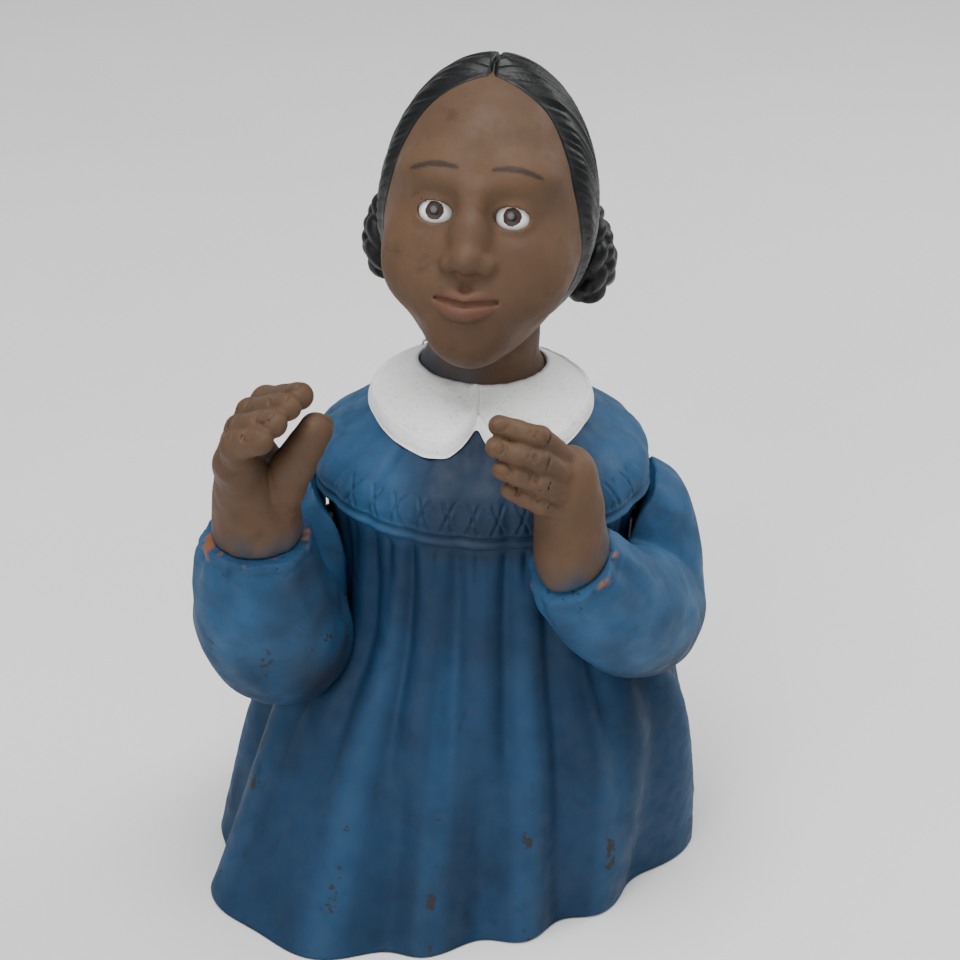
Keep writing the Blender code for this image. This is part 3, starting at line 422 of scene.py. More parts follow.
def worn_paint(name, main, shade, tint, roughness, chipping, speckle=0.0, bumpiness=0.35):
    """Brushed paint over cast iron. Vertex attributes say where it is tinted, chipped and rusty."""
    s = Shader(name)
    broad = s.noise(38, 3)
    colour = s.mix(s.ramp(broad, 0.32, 0.66, 0.3, 1), shade, main)
    colour = s.mix(s.ramp(s.noise(260, 5), 0.42, 0.75, 0, 0.35), colour, shade)
    # Tint: blue overspray on the skin, grey at the collar's neck, and a painted highlight on the blue paint.
    patchy = s.math("MULTIPLY", s.attribute("tint"), s.ramp(s.noise(150, 4), 0.25, 0.6, 0.55, 1))
    colour = s.mix(patchy, colour, tint)
    colour = s.mix(s.math("MULTIPLY", s.attribute("warm"), 0.5), colour, (0.15, 0.058, 0.040))
    # Near black: the inked brows, dirt on the right forearm, and painted shade over the chest.
    colour = s.mix(s.attribute("ink"), colour, (0.012, 0.009, 0.008))
    grime = s.ramp(s.noise(90, 6, 0.65, 0.6), 0.56, 0.72, 0, 0.4)
    colour = s.mix(grime, colour, tuple(v * 0.45 for v in shade))
    chips = s.math("ADD", s.noise(620, 5, 0.6, 0.4), s.math("MULTIPLY", s.attribute("wear"), 0.34))
    chips = s.ramp(chips, chipping, chipping + 0.05)
    colour = s.mix(chips, colour, IRON)
    rusty = s.math("ADD", s.noise(330, 5, 0.6, 0.8), s.math("MULTIPLY", s.attribute("rust"), 0.42))
    rusty = s.ramp(rusty, 0.83, 0.99)
    colour = s.mix(rusty, colour, RUST)
    if speckle:
        dots = s.ramp(s.noise(1500, 3, 0.7), 0.60, 0.68, 0, speckle)
        colour = s.mix(dots, colour, tuple(v * 0.3 for v in shade))
    gloss = s.math("ADD", s.ramp(s.noise(210, 4), 0.3, 0.7, -0.08, 0.1), roughness)
    gloss = s.math("MAXIMUM", gloss, s.ramp(chips, 0, 1, 0, 0.72))
    grain = s.math("ADD", s.noise(900, 4, 0.6), s.math("MULTIPLY", s.noise(190, 3), 1.5))
    surface = s.bump(grain, 0.00022, bumpiness)
    surface = s.bump(s.ramp(chips, 0, 1, 1, 0), 0.0001, 0.6, surface)
    return s.finish(Base_Color=colour, Roughness=gloss, Normal=surface, Specular_IOR_Level=0.3)


# Each paint has its main colour, its shade and a tint for some places; on the blue it is a painted highlight.
BLUES = ((0.0055, 0.035, 0.088), (0.0030, 0.019, 0.047), (0.020, 0.083, 0.180))
BROWNS = ((0.110, 0.060, 0.032), (0.075, 0.041, 0.023), (0.022, 0.048, 0.075))
WHITES = ((0.95, 0.95, 0.93), (0.86, 0.86, 0.84), (0.25, 0.25, 0.25))
BLACKS = ((0.0050, 0.0055, 0.006), (0.003, 0.003, 0.0035), (0.05, 0.05, 0.05))
BLUE = worn_paint("blue paint", *BLUES, 0.66, 0.785)
SKIN = worn_paint("brown paint", *BROWNS, 0.64, 0.80)
WHITE = worn_paint("white paint", *WHITES, 0.6, 0.83, speckle=0.5, bumpiness=1.0)
HAIR = worn_paint("black paint", *BLACKS, 0.42, 0.90)


def metal(name, main, shade, roughness, metallic, scale=500.0):
    """Worn metal with a fine, directional grain."""
    s = Shader(name)
    grain = s.noise(scale, 5, 0.6, vector=s.stretched((1.0, 1.0, 6.0)))
    colour = s.mix(s.ramp(s.noise(120, 5), 0.4, 0.65), main, shade)
    gloss = s.ramp(grain, 0.3, 0.7, roughness - 0.1, roughness + 0.12)
    surface = s.bump(grain, 0.00008, 0.3)
    return s.finish(Base_Color=colour, Roughness=gloss, Metallic=metallic, Normal=surface)


STEEL = metal("dull steel", (0.42, 0.42, 0.43), (0.25, 0.24, 0.23), 0.38, 1.0)
BRASS = metal("dull brass", (0.55, 0.40, 0.16), (0.32, 0.22, 0.09), 0.42, 1.0)
CAST = metal("blackened iron", (0.07, 0.066, 0.062), (0.035, 0.03, 0.028), 0.58, 0.65, 900.0)


def enamel():
    """Glossy eye enamel: white, with a grey-brown iris and a black pupil painted about the local -Y pole."""
    s = Shader("eye enamel")
    off_axis = s.attribute("off_axis")
    ring = s.ramp(s.math("ADD", off_axis, s.ramp(s.noise(900, 2), 0.3, 0.7, -0.02, 0.02)), 0.42, 0.45)
    colour = s.mix(ring, (0.045, 0.026, 0.017), (0.84, 0.85, 0.86))
    colour = s.mix(s.ramp(off_axis, 0.20, 0.23), (0.004, 0.004, 0.004), colour)
    # Painted shade: the enamel dims towards the rim, where the ball goes into its socket.
    colour = s.mix(s.ramp(off_axis, 0.75, 1.0, 0, 0.45), colour, (0.35, 0.27, 0.22))
    return s.finish(Base_Color=colour, Roughness=0.2)


# ---- Dress ----
PROFILE = smooth_through(OUTLINE, 10)


def crest_wave(angle, crests):
    """A wave round the dress with its crests at the given angles."""
    degrees = (np.degrees(angle) + 180) % 360 - 180
    stops = np.array((crests[-1] - 360, *crests, crests[0] + 360), float)
    return np.cos(2 * math.pi * np.interp(degrees, stops, np.arange(len(stops))))


def section(angle, half_width, front, back, square):
    """Reach of a rounded oblong section: two when it is an ellipse, more as it squares up."""
    depth = np.where(np.sin(angle) < 0, front, back)
    sides = (np.abs(np.cos(angle)) / half_width) ** square
    return (sides + (np.abs(np.sin(angle)) / depth) ** square) ** (-1 / square)


def plain_reach(angle, height):
    """Distance from the axis to the dress without its fine relief. Height is along the unrisen outline."""
    radius = section(angle, *(np.interp(height, PROFILE[:, 0], PROFILE[:, c]) for c in range(1, 5)))
    degrees, swing = np.array(HEM_SWING, float).T
    plain = section(np.radians(degrees), *OUTLINE[0][1:])
    # Thirteen samples a degree apart are averaged, which rounds the corners of the swing's straight runs.
    factor = 0
    for shift in range(-6, 7):
        turned = (np.degrees(angle) + shift + 180) % 360 - 180
        factor = factor + np.interp(turned, degrees, swing / plain) / 13
    share = np.clip(1 - np.maximum(height, 0) / HEM_SWING_TOP, 0, 1) ** 1.5
    radius = radius * (1 + (factor - 1) * share)
    low_depth = np.interp(height, (0, 30, 55), (1.7, 1.2, 0))
    high_depth = np.interp(height, (15, 45, 75, 90), (0, 0.8, 0.6, 0))
    return radius + low_depth * crest_wave(angle, HEM_CRESTS) + high_depth * crest_wave(angle, WAIST_CRESTS)


def rise(angle, height):
    """How much the yoke is raised over the shoulders."""
    return YOKE_RISE * np.cos(angle) ** 2 * np.interp(height, (86, 93, 100, 109), (0, 1, 1, 0))


def gathers():
    """Angle, width in degrees, depth and length of each pleat under the yoke."""
    rng = np.random.default_rng(11)
    seen = [-155, -147, -138, -130, -122, -114, -105, -97, -86, -79, -71]
    rest = list(np.arange(-62, 200, 8.6) + rng.uniform(-2, 2, 31))
    made = []
    for degrees in seen + rest:
        made.append((degrees, rng.uniform(1.3, 2.1), rng.uniform(0.7, 1.25), rng.uniform(7, 17)))
    return made


def relief(angle, height):
    """Fine relief of the dress: pleats, the yoke's border and lattice, and an uneven cast surface."""
    reach = plain_reach(angle, height)
    # The valleys between the folds are sharper than a plain wave.
    low_valley = (0.5 - 0.5 * crest_wave(angle, HEM_CRESTS)) ** 3
    high_valley = (0.5 - 0.5 * crest_wave(angle, WAIST_CRESTS)) ** 3
    depth = -1.45 * low_valley * np.interp(height, (0, 4, 30, 55), (0.4, 0.9, 0.9, 0))
    depth = depth - 1.1 * high_valley * np.interp(height, (20, 50, 80, 90), (0, 1, 0.9, 0.5))
    below = YOKE_EDGE - 1.4 - height
    for degrees, width, deep, length in gathers():
        apart = (np.degrees(angle) - degrees + 180) % 360 - 180
        fade = np.exp(-np.maximum(below, 0) / length) * smoothstep(below, -0.5, 2.0)
        spread = width * (1 + np.maximum(below, 0) / 18)
        depth -= deep * fade * ridge(apart, 0, spread)
    # The border is a rolled rim, with a finer one above it.
    depth += 0.75 * ridge(height, YOKE_EDGE + 0.4, 0.75)
    depth -= 0.35 * ridge(height, YOKE_EDGE + 1.9, 0.45)
    depth += 0.25 * ridge(height, YOKE_EDGE + 2.7, 0.45)
    # Smocking: crossing threads, pressed in, over the chest.
    pitch, low, high = 5.4, YOKE_EDGE + 3.0, YOKE_EDGE + 9.2
    across = np.radians((np.degrees(angle) + 90 + 180) % 360 - 180) * 34.0
    up = (height - low) / (high - low)
    band = smoothstep(up, -0.05, 0.08) * (1 - smoothstep(up, 0.9, 1.05))
    band = band * smoothstep(-np.abs(across), -40, -33)
    for lean in (-1, 1):
        phase = (across / pitch + lean * up * 0.5 + 0.25 * lean) % 1
        off_line = (phase - 0.5) * pitch
        depth += band * (0.28 * ridge(off_line, 0, 1.0) - 0.62 * ridge(off_line, 0, 0.42))
    x, y = reach * np.cos(angle), reach * np.sin(angle)
    return depth + 0.10 * ripple((x, y, height), 16, 3) + 0.05 * ripple((x, y, height), 5, 4)


def dress_point(angle, height, inset=0.0, fine=True):
    """Points on the dress, or inset from it, with or without the fine relief."""
    radius = plain_reach(angle, height) - inset + (relief(angle, height) if fine else 0)
    return np.stack((radius * np.cos(angle), radius * np.sin(angle), height + rise(angle, height)), axis=-1)


def dress_angles(front, height, count, inset, fine):
    """Angles round one half at each height, which end on the parting plane."""
    y = PARTING_Y - GAP / 2 if front else PARTING_Y + GAP / 2
    ends = []
    for side in (0, math.pi):
        angle = np.full(len(height), side + (0.3 if side == 0 else -0.3))
        for _ in range(12):
            radius = np.hypot(*dress_point(angle, height, inset, fine)[:, :2].T)
            lean = np.arcsin(np.clip(y / radius, -1, 1))
            angle = lean if side == 0 else math.pi - lean
        ends.append(angle)
    right, left = ends
    start, end = (left - 2 * math.pi, right) if front else (right, left)
    share = np.linspace(0, 1, count)
    return start[:, None] + (end - start)[:, None] * share[None, :]


def dress_half(name, front):
    """One casting of the dress with its wall, its rounded hem and its wear."""
    outer = np.concatenate((np.arange(0.9, 86, 0.6), np.arange(86, 104, 0.3), np.arange(104, 114.3, 0.5)))
    inner = np.linspace(114.3, 0, 30)
    count = 460 if front else 360
    rows = []
    # The hem's lower edge is rounded under.
    for turn in np.radians((90, 60, 30)):
        height = np.full(1, 0.9 - 0.9 * math.sin(turn))
        angles = dress_angles(front, height, count, 0, False)
        rows.append(dress_point(angles, height[:, None] + 0 * angles, 0.9 * (1 - math.cos(turn)), False)[0])
    angles = dress_angles(front, outer, count, 0, True)
    rows += list(dress_point(angles, outer[:, None] + 0 * angles))
    worn_rows = len(rows)
    angles = dress_angles(front, inner, count, WALL, False)
    rows += list(dress_point(angles, inner[:, None] + 0 * angles, WALL, False))
    grid = np.array(rows)
    n = len(grid)
    index = np.arange(n * count).reshape(n, count)
    low, high = index, np.roll(index, -1, axis=0)
    faces = woven(low[:, :-1], high[:, :-1], low[:, 1:], high[:, 1:]).tolist()
    faces += [index[:, 0].tolist(), index[::-1, -1].tolist()]
    points = grid.reshape(-1, 3)
    x, y, z = points.T
    angle = np.arctan2(y, x)
    crest = 0.5 + 0.5 * crest_wave(angle, HEM_CRESTS)
    wear = 0.95 * smoothstep(crest, 0.93, 1.0) * (1 - smoothstep(z, 22, 46))
    wear = wear * (0.5 + 0.5 * ripple(points.T, 9, 8))
    wear = np.maximum(wear, 0.85 * (1 - smoothstep(z, 0.2, 1.8)))
    edge_height = z - rise(angle, np.full_like(z, 93.0))
    wear = np.maximum(wear, 0.35 * ridge(edge_height, YOKE_EDGE + 0.4, 0.8))
    # Painted highlight: a lighter blue on the shoulders and on the crests of the skirt's lower folds.
    shoulders = smoothstep(np.abs(x), 12, 26) * smoothstep(z, 88, 96)
    tint = np.clip(0.8 * shoulders + 0.3 * smoothstep(crest, 0.6, 1) * (1 - smoothstep(z, 60, 80)), 0, 1)
    shell = (np.arange(n * count) // count) < worn_rows
    tint = tint * shell
    # Painted shade: the front of the chest above the yoke's border is darkened towards black.
    chest = (1 - smoothstep(np.abs(x - 3), 10, 27)) * smoothstep(z, 86, 93) * smoothstep(-y, 0, 12)
    return make_mesh(name, points, faces, BLUE, wear=np.clip(wear, 0, 1), tint=tint, ink=0.42 * chest * shell)


def reach_table():
    """Reach of the dress by angle and true height, for cutting other pieces clear of it."""
    angles = np.linspace(-math.pi, math.pi, 721)
    heights = PROFILE[:, 0]
    levels = np.arange(0, 118, 0.25)
    table = np.empty((len(angles), len(levels)), np.float32)
    for i, angle in enumerate(angles):
        at = np.full(len(heights), angle)
        table[i] = np.interp(levels, heights + rise(at, heights), plain_reach(at, heights))
    return table


REACH = reach_table()


def dress_field(x, y, z):
    """About how far a point is outside the dress: negative inside."""
    across = (np.arctan2(y, x) + math.pi) / (2 * math.pi) * 720
    up = np.clip(z / 0.25, 0, REACH.shape[1] - 2)
    i, j = np.minimum(across.astype(int), 719), up.astype(int)
    s, t = across - i, up - j
    reach = REACH[i, j] * (1 - s) * (1 - t) + REACH[i + 1, j] * s * (1 - t)
    reach = reach + REACH[i, j + 1] * (1 - s) * t + REACH[i + 1, j + 1] * s * t
    return np.maximum(np.hypot(x, y) - reach, (z - 116) * 0.9)


def opening(name, low, high, rounding):
    """A cutter with rounded edges for an opening, from corner to corner in millimetres."""
    bpy.ops.mesh.primitive_cube_add(size=1)
    cutter = bpy.context.object
    cutter.name = name
    low, high = np.array(low, float), np.array(high, float)
    cutter.data.transform(Matrix.Diagonal((*((high - low) * MM), 1)))
    cutter.data.transform(Matrix.Translation((low + high) / 2 * MM))
    bevel = cutter.modifiers.new("rounding", "BEVEL")
    bevel.width, bevel.segments = rounding * MM, 3
    return cutter


def screw_room(name, x, z):
    """A cutter for the round recess from behind in which a body screw's head lies."""
    depth = SCREW_ROOM["depth"]
    bpy.ops.mesh.primitive_cylinder_add(vertices=48, radius=SCREW_ROOM["radius"] * MM, depth=depth * MM)
    cutter = bpy.context.object
    cutter.name = name
    cutter.data.transform(Matrix.Rotation(math.pi / 2, 4, "X"))
    cutter.data.transform(Matrix.Translation(np.array((x, SCREW_ROOM["floor"] + depth / 2, z)) * MM))
    return cutter


def cut_out(obj, cutters):
    """Cuts the cutters from the object for good, then removes them."""
    for cutter in cutters:
        modifier = obj.modifiers.new(cutter.name, "BOOLEAN")
        modifier.object = cutter
    bpy.context.view_layer.update()
    finished = bpy.data.meshes.new_from_object(obj.evaluated_get(bpy.context.evaluated_depsgraph_get()))
    obj.modifiers.clear()
    obj.data = finished
    for cutter in cutters:
        bpy.data.objects.remove(cutter)


def dress():
    """Both castings. The back one has the lever slot, the coin slot and recesses for two screws."""
    place(dress_half("dress_front", True), "bank", "dress_blue", "front_shell")
    back = dress_half("dress_back", False)
    lever_low, lever_high = (np.array(corner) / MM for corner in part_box("press_lever"))
    x, half = (lever_low[0] + lever_high[0]) / 2, LEVER_SLOT["width"] / 2
    openings = frame["record"]["physics"]["openings"]
    coin_slot = next(box for box in openings if box["name"] == "coin_slot")
    slot_low, slot_high = (np.array(corner) / MM for corner in coin_slot["box_m"])
    cutters = [
        opening("lever slot", (x - half, 20, LEVER_SLOT["bottom"]), (x + half, 45, LEVER_SLOT["top"]), 0.6),
        opening("coin slot", slot_low - (0.5, 0.1, 0.2), (slot_high[0] + 0.5, slot_high[1] + 0.1, 125), 0.8),
    ]
    for side in ("right", "left"):
        low, high = (np.array(corner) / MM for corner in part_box(f"body_screw_{side}"))
        cutters.append(screw_room(f"{side} screw room", (low[0] + high[0]) / 2, (low[2] + high[2]) / 2))
    cut_out(back, cutters)
    place(back, "bank", "dress_blue", "back_shell")


# ---- Collar ----
def yoke_height(angle, reach):
    """Height of the yoke's outer surface at a distance from the neck's axis."""
    x, y = reach * np.cos(angle), reach * np.sin(angle) + PIVOT[1]
    about = np.arctan2(y, x)
    heights = np.linspace(95, 114.3, 80)
    radii = plain_reach(np.broadcast_to(about, (80, len(about))), heights[:, None] + 0 * about)
    risen = heights[:, None] + rise(np.broadcast_to(about, (80, len(about))), heights[:, None] + 0 * about)
    away = np.hypot(x, y)
    return np.array([np.interp(away[i], radii[::-1, i], risen[::-1, i]) for i in range(len(about))])


def collar():
    """A flat collar of two rounded flaps with a rolled rim. The figure's right flap laps over the left."""
    count = 540
    angles = np.linspace(-math.pi, math.pi, count, endpoint=False)
    front = (np.degrees(angles) + 90 - COLLAR_TURN + 180) % 360 - 180
    edge_degrees, edge_reach = np.array(COLLAR_EDGE).T
    edge = sum(np.interp(np.abs(front + d), edge_degrees, edge_reach) for d in np.linspace(-2, 2, 9)) / 9
    upper_rows, lower_rows = [], []
    shares = np.concatenate((np.linspace(0, 0.8, 26), np.linspace(0.82, 1, 20)))
    over = smoothstep(-front, -1.0, 0.6) * smoothstep(front, -60, -25)
    for share in shares:
        reach = COLLAR_LIP + (edge - COLLAR_LIP) * share
        bottom = yoke_height(angles, np.maximum(reach, 21.6)) + 0.45 + 0.58 * np.maximum(21.6 - reach, 0)
        from_edge = edge - reach
        rim = 0.75 * ridge(from_edge, 1.0, 0.7) - 0.35 * ridge(from_edge, 2.4, 0.55)
        seam = np.abs(np.radians(front)) * reach
        lap = smoothstep(np.full_like(reach, share), 0.02, 0.15)
        rim = rim + lap * (0.5 * ridge(seam, 1.0, 0.7) * (front < 0) - 0.9 * ridge(seam, 0, 0.45))
        thick = COLLAR_THICKNESS + rim + 0.55 * over * lap
        thick = thick * np.sqrt(np.clip(1 - (np.maximum(0, 0.9 - from_edge) / 1.0) ** 2, 0.02, 1))
        rounding = 0.35 * max(0.0, 1 - share / 0.08) ** 2
        grain = 0.07 * ripple((reach * np.cos(angles), reach * np.sin(angles), bottom), 2.2, 21)
        around = np.column_stack((reach * np.cos(angles), reach * np.sin(angles) + PIVOT[1]))
        upper_rows.append(np.column_stack((around, bottom + thick + grain - rounding)))
        lower_rows.append(np.column_stack((around, bottom)))
    grid = np.array(lower_rows[::3] + [lower_rows[-1]] + upper_rows[::-1])
    n = len(grid)
    index = np.arange(n * count).reshape(n, count)
    low, high = index, np.roll(index, -1, axis=0)
    faces = woven(low, high, np.roll(low, -1, 1), np.roll(high, -1, 1))
    points = grid.reshape(-1, 3)
    x, y, z = points.T
    away = np.hypot(x, y - PIVOT[1])
    at_neck = smoothstep(-away, -15.2, -14.0)
    outward = np.tile(edge, n) - away
    wear = np.maximum(0.55 * at_neck, 0.30 * smoothstep(-outward, -1.2, 0))
    made = make_mesh("collar_flaps", points, faces, WHITE, wear=wear, tint=0.6 * at_neck, rust=0.5 * at_neck)
    place(made, "bank", "collar_white", "collar")


# ---- Sleeves ----
def cuff(stations):
    """A sleeve's rows, the middle of its cuff and the way that the cuff faces."""
    rows = smooth_through(stations, 8)
    return rows, rows[-1][:3], unit(rows[-1][:3] - rows[-4][:3])


def sleeve(side, stations, fullness):
    """A full sleeve gathered into its cuff, kept clear of the dress through the arm's lift."""
    rows, end, way = cuff(stations)
    margin = 17.0
    clay = Clay(rows[:, :3].min(0) - margin, rows[:, :3].max(0) + margin, 0.55)
    clay.strand(rows, 3.0)
    # The sleeve head fills the space under the edge of the yoke.
    inward = math.copysign(2.5, -rows[0][0])
    clay.ellipsoid(rows[0][:3] + np.array((inward, -1.5, -1.0)), (11.5, 11.5, 11.0), 3.0)
    x, y, z = clay.grid()
    # Folds run from the cuff into the sleeve and die out towards the elbow.
    along = distance_along(end, way, x, y, z)
    side_way = unit(np.cross(way, (0, 1, 0)))
    up_way = np.cross(side_way, way)
    turn = np.arctan2(distance_along(end, up_way, x, y, z), distance_along(end, side_way, x, y, z))
    folds = np.cos(9 * turn + 0.8 * np.sin(2 * turn) + along * 0.05) * ridge(along, -5, 9)
    folds = 0.42 * fullness * folds
    # Shoulder gathers, and slack wrinkles inside the elbow.
    drop = SHAFT[2] + 8 - z
    gather = np.cos(np.arctan2(y - SHAFT[1], np.abs(x) - 26) * 14) * np.exp(-np.maximum(drop, 0) / 8)
    slack = ripple((x, y * 0.6, z * 1.6), 15, 31 if side == "left" else 32)
    soft = 0.30 * slack + 0.16 * ripple((x, y, z), 7, 33)
    cuff_line = 0.45 * ridge(along, -1.9, 0.5)
    clay.values = clay.values - folds + 0.22 * gather - 0.6 * soft + cuff_line
    clay.cut_above(end + way * CUFF_EDGE, way)
    for lift in np.linspace(0, ARM_LIFT, 5):
        c, s = math.cos(math.radians(lift)), math.sin(math.radians(lift))
        y_up = SHAFT[1] + (y - SHAFT[1]) * c + (z - SHAFT[2]) * s
        z_up = SHAFT[2] - (y - SHAFT[1]) * s + (z - SHAFT[2]) * c
        inside = dress_field(x + 0 * y_up, y_up + 0 * x, z_up + 0 * x)
        clay.values = np.maximum(clay.values, ARM_CLEARANCE - inside)
    points, faces = clay.mesh()
    x, y, z = points.T
    along = (points - end) @ way
    near_cuff = smoothstep(along, -9, 0)
    rubbed = 0.34 if side == "left" else 0.62
    wear = 0.5 * near_cuff + rubbed * smoothstep(-z, -88, -70) * (0.5 + 0.5 * ripple(points.T, 8, 41))
    # Painted highlight: the sleeve is a lighter blue above the elbow and darker towards its bottom.
    tint = np.clip(0.75 * smoothstep(z, 58, 74) + 0.2 * ripple(points.T, 12, 42), 0, 1)
    # The right forearm is the more handled one: its front has gone dark and grey.
    dirt = 0.0 if side == "left" else 0.5 * smoothstep(x, -52, -38) * smoothstep(-y, 22, 34)
    dirt = np.clip(dirt * (0.8 + 0.5 * ripple(points.T, 9, 44)), 0, 0.7)
    rust = np.clip(smoothstep(along, -2.6, -0.3) * (0.55 + 0.6 * ripple(points.T, 6, 43)), 0, 1)
    paint = {"wear": wear, "tint": tint, "rust": rust, "ink": dirt}
    made = make_mesh(f"{side}_puffed_sleeve", points, faces, BLUE, **paint)
    place(made, "arms", "dress_blue", f"{side}_sleeve")


# ---- Hands ----
def finger(clay, joints, nail_way, thumb):
    """A finger with swellings at its joints, a soft tip, creases on its back and a nail."""
    knuckle, middle, tip = (np.array(joint, float) for joint in joints)
    near = knuckle * 0.5 + middle * 0.5
    near[3] *= 0.96
    far = middle * 0.45 + tip * 0.55
    far[3] *= 0.97
    clay.strand((knuckle, near, middle, far, tip), 0.7)
    along = unit(tip[:3] - middle[:3])
    back = unit(np.array(nail_way) - along * (np.array(nail_way) @ along))
    across = np.cross(along, back)
    turn = np.column_stack((along, across, back))
    radius = tip[3]
    bed = tip[:3] + back * radius * 0.80 - along * radius * 0.05
    clay.ellipsoid(bed + back * 0.3, (1.08 * radius, 0.86 * radius, 0.75), 0.2, True, turn)
    clay.ellipsoid(bed - back * 0.1, (0.84 * radius, 0.58 * radius, 0.7), 0.12, False, turn)
    if thumb:
        return
    for spot, gap in ((far * 0.35 + middle * 0.65, 0.55), (middle * 0.86 + knuckle * 0.14, 0.75)):
        for shift in (-gap, gap):
            crease = spot[:3] + back * spot[3] * 1.02 + along * shift
            clay.ellipsoid(crease, (0.22, spot[3] * 0.6, 0.5), 0.3, True, turn)


def hand(side, sleeve_stations, palm, fingers, nails):
    """A hand from inside the cuff to the fingertips, with rust and the sleeve's blue at the wrist."""
    _, end, way = cuff(sleeve_stations)
    spots = np.array([station for chain in palm for station in chain])
    spots = np.vstack((spots, [joint for joints in fingers.values() for joint in joints]))
    margin = spots[:, 3:] + 2.5
    clay = Clay((spots[:, :3] - margin).min(0), (spots[:, :3] + margin).max(0), 0.36)
    for chain in palm:
        clay.strand(smooth_through(chain, 3), 3.2)
    for (name, joints), nail_way in zip(fingers.items(), nails):
        finger(clay, joints, nail_way, name == "thumb")
    x, y, z = clay.grid()
    clay.values = clay.values - 0.10 * ripple((x, y, z), 6, 51) * np.exp(-np.maximum(clay.values, 0))
    clay.cut_above(end + way * CUFF_GAP, -way)
    points, faces = clay.mesh()
    x, y, z = points.T
    from_cuff = (points - end) @ way
    tint = 0.95 * (1 - smoothstep(from_cuff, 0.5, 7.5)) * (0.75 + 0.3 * ripple(points.T, 7, 52))
    rust = (1 - smoothstep(from_cuff, 0.4, 2.8)) * (0.6 + 0.6 * ripple(points.T, 5, 53))
    wear = 0.22 * (0.5 + 0.5 * ripple(points.T, 9, 54))
    paint = {"wear": np.clip(wear, 0, 1), "tint": np.clip(tint, 0, 1), "rust": np.clip(rust, 0, 1)}
    made = make_mesh(f"{side}_raised_hand", points, faces, SKIN, **paint)
    place(made, "arms", "skin_brown", f"{side}_hand")


# ---- Head ----
HEAD_ROTATION = np.array(
    Matrix.Rotation(math.radians(HEAD_TURN), 3, "Z") @ Matrix.Rotation(math.radians(-HEAD_TILT), 3, "X")
)


def to_world(points):
    return HEAD_CENTRE + np.asarray(points) @ HEAD_ROTATION.T


def to_head(points):
    return (np.asarray(points) - HEAD_CENTRE) @ HEAD_ROTATION


def egg(x, y, z):
    """About how far a point is outside the plain head, in the head's own frame."""
    half_width, half_depth, half_height = HEAD_SIZE
    up = z / half_height
    low = np.clip(-up, 0, 1)
    wide = half_width * (1 - 0.25 * low**1.9)
    shifted = y + 8.5 * low**2
    deep = half_depth * (1 - np.where(shifted > 0, 0.42, 0.12) * low**1.5)
    return (np.sqrt((x / wide) ** 2 + (shifted / deep) ** 2 + up**2) - 1) * half_width


def face_features(clay):
    """A calm, plain face on even proportions, lying on the head."""
    clay.ellipsoid((0, -15.0, -24.5), (7.5, 5.4, 5.6), 5.0)
    clay.ellipsoid((0, -16.6, -16.0), (10.5, 5.8, 7.5), 5.0)
    for side in (-1, 1):
        clay.ellipsoid((side * 10.8, -11.8, -10.0), (8.8, 7.8, 9.6), 5.0)
        clay.ellipsoid((side * 8.2, -23.2, 1.0), (5.4, 2.9, 4.4), 4.0, True)
        clay.ellipsoid((side * 8.3, -15.6, 8.4), (7.5, 5.6, 4.0), 5.0)
        clay.ellipsoid((side * EYE[0], EYE[1], EYE[2]), 5.25, 1.4)
    clay.strand(((0, -21.0, 4.0, 1.6), (0, -22.8, -3.0, 2.1), (0, -24.2, -8.0, 2.6)), 4.0)
    clay.ellipsoid((0, -24.9, -9.0), (2.9, 2.6, 2.4), 2.2)
    for side in (-1, 1):
        clay.ellipsoid((side * 3.5, -22.9, -9.9), (2.1, 2.5, 1.9), 1.8)
        clay.ellipsoid((side * 1.8, -24.4, -12.0), (1.0, 1.3, 0.9), 0.7, True)
    lips = np.linspace(-1, 1, 17)
    bow = 0.35 * np.cos(2 * math.pi * lips) * (1 - lips**2)
    depth = -22.9 + 3.6 * np.abs(lips) ** 2.2
    full = np.sqrt(np.clip(1 - lips**2, 0.02, 1))
    lift = 0.9 * lips**2
    upper = np.column_stack((6.6 * lips, depth + 0.1, -16.5 + lift - bow, 0.35 + 1.45 * full))
    lower = np.column_stack((6.2 * lips, depth + 0.2, -19.2 + 1.9 * lips**2, 0.35 + 1.75 * full))
    clay.strand(lower, 0.8)
    clay.strand(upper, 0.8)
    line = np.column_stack((6.9 * lips, depth - 1.5, -17.75 + lift - 0.4 * bow, 0.22 + 0.28 * full))
    clay.strand(line, 0.7, True)
    clay.strand(((0, -23.9, -13.0, 0.5), (0, -23.6, -14.6, 0.6)), 1.6, True)
    for side in (-1, 1):
        x, y, z = side * EYE[0], EYE[1], EYE[2]
        clay.ellipsoid((x, y - 5.0, z - 0.35), (3.9, 4.0, 2.25), 0.35, True)
        clay.ellipsoid((x, y, z), EYE_RADIUS + 0.28, 0.1, True)
        angles = np.radians(np.linspace(22, 158, 12))
        lid_y = y - 4.0 + 1.9 * np.abs(np.cos(angles))
        lid_z = z + 0.6 + 3.9 * np.sin(angles)
        clay.strand(np.column_stack((x + 4.9 * np.cos(angles), lid_y, lid_z, np.full(12, 0.22))), 0.5, True)


def painted_face(points):
    """Where the thin brows are inked and where the lips are warmer."""
    x, y, z = points.T
    front = y < -12
    across = np.abs(x)
    brow_height = 9.6 + 0.9 * np.sin(np.clip((across - 3.6) / 10, 0, 1) * math.pi) - 0.10 * (across - 3.6)
    thin = 0.42 * np.sqrt(np.clip(1 - ((across - 8.6) / 5.2) ** 2, 0, 1))
    brow = smoothstep(thin + 0.45 - np.abs(z - brow_height), 0, 0.5) * (thin > 0.02)
    mouth = ((x / 6.9) ** 2 + ((z + 17.9 - 0.7 * (x / 6.9) ** 2) / 3.3) ** 2) ** 0.5
    return front * brow, front * (1 - smoothstep(mouth, 0.8, 1.08))


